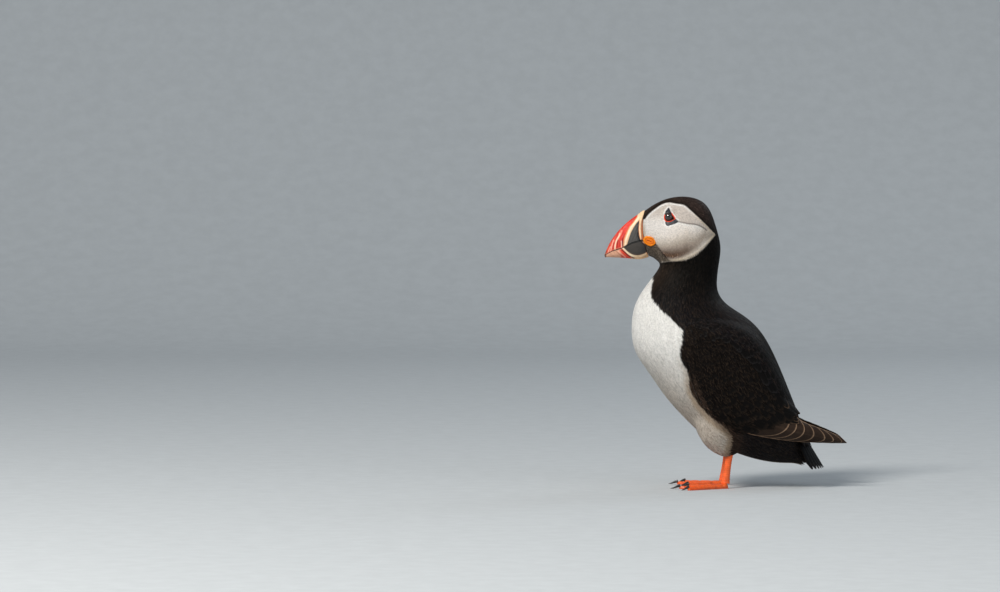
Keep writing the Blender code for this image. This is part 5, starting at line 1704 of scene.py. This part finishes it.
class StageSettings(PropertyGroup):
    """Camera, light and floor."""

    lens: FloatProperty(
        name="Lens", description="Focal length", default=200.0, min=50, max=400, unit="CAMERA")
    tilt: FloatProperty(
        name="Camera height", description="The angle from which the camera looks down",
        default=math.radians(2.0), min=0, max=1.2, subtype="ANGLE")
    key: FloatProperty(name="Key light", description="Power of the main light in watts", default=83.0, min=0)
    sky: FloatProperty(name="Sky", description="Strength of the pale surroundings", default=0.40, min=0)
    floor: colour_property("Floor", "The floor and what rises behind it", (0.50, 0.525, 0.54))


class PUFFIN_OT_skin(Operator):
    """Makes the bare body under the feathers"""

    bl_idname = "puffin.skin"
    bl_label = "Skin"

    def execute(self, context):
        make_skin()
        return {"FINISHED"}


class PUFFIN_OT_coat(Operator):
    """Covers the body with small feathers, region by region"""

    bl_idname = "puffin.coat"
    bl_label = "Coat"

    def execute(self, context):
        for seed, which in enumerate(COATS, start=1):
            make_coat(which, seed)
        return {"FINISHED"}


class PUFFIN_OT_wings(Operator):
    """Lays the wing feathers"""

    bl_idname = "puffin.wings"
    bl_label = "Wings"

    def execute(self, context):
        make_wings()
        return {"FINISHED"}


class PUFFIN_OT_tail(Operator):
    """Lays the tail feathers"""

    bl_idname = "puffin.tail"
    bl_label = "Tail"

    def execute(self, context):
        make_tail()
        return {"FINISHED"}


class PUFFIN_OT_bill(Operator):
    """Makes the bill, its ridge and the rosettes"""

    bl_idname = "puffin.bill"
    bl_label = "Bill"

    def execute(self, context):
        make_bill()
        return {"FINISHED"}


class PUFFIN_OT_eyes(Operator):
    """Makes the eyes, their lids and plates"""

    bl_idname = "puffin.eyes"
    bl_label = "Eyes"

    def execute(self, context):
        make_eyes()
        return {"FINISHED"}


class PUFFIN_OT_feet(Operator):
    """Makes the legs, feet and claws"""

    bl_idname = "puffin.feet"
    bl_label = "Feet"

    def execute(self, context):
        make_feet()
        return {"FINISHED"}


class PUFFIN_OT_stage(Operator):
    """Sets out the floor, the lights and the camera"""

    bl_idname = "puffin.stage"
    bl_label = "Stage"

    def execute(self, context):
        make_stage()
        return {"FINISHED"}


OPERATORS = (PUFFIN_OT_skin, PUFFIN_OT_coat, PUFFIN_OT_wings, PUFFIN_OT_tail, PUFFIN_OT_bill, PUFFIN_OT_eyes,
             PUFFIN_OT_feet, PUFFIN_OT_stage)
GROUPS = {"puffin_plumage": PlumageSettings, "puffin_bill": BillSettings, "puffin_eyes": EyeSettings,
          "puffin_feet": FootSettings, "puffin_stage": StageSettings}


class PUFFIN_PT_panel(Panel):
    """Lists the settings and the steps of the puffin"""

    bl_idname = "PUFFIN_PT_panel"
    bl_label = "Puffin"
    bl_space_type = "VIEW_3D"
    bl_region_type = "UI"
    bl_category = "Puffin"

    def draw(self, context):
        for title, group in GROUPS.items():
            box = self.layout.box()
            for key in group.__annotations__:
                box.prop(getattr(context.scene, title), key)
        for operator in OPERATORS:
            self.layout.operator(operator.bl_idname)


CLASSES = (*GROUPS.values(), *OPERATORS, PUFFIN_PT_panel)


def register():
    for made in CLASSES:
        bpy.utils.register_class(made)
    for title, group in GROUPS.items():
        setattr(bpy.types.Scene, title, PointerProperty(type=group))


def unregister():
    for title in GROUPS:
        delattr(bpy.types.Scene, title)
    for made in reversed(CLASSES):
        bpy.utils.unregister_class(made)


def main():
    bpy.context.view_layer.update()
    register()
    for name in ("skin", "coat", "wings", "tail", "bill", "eyes", "feet", "stage"):
        getattr(bpy.ops.puffin, name)()


if __name__ == "__main__":
    main()
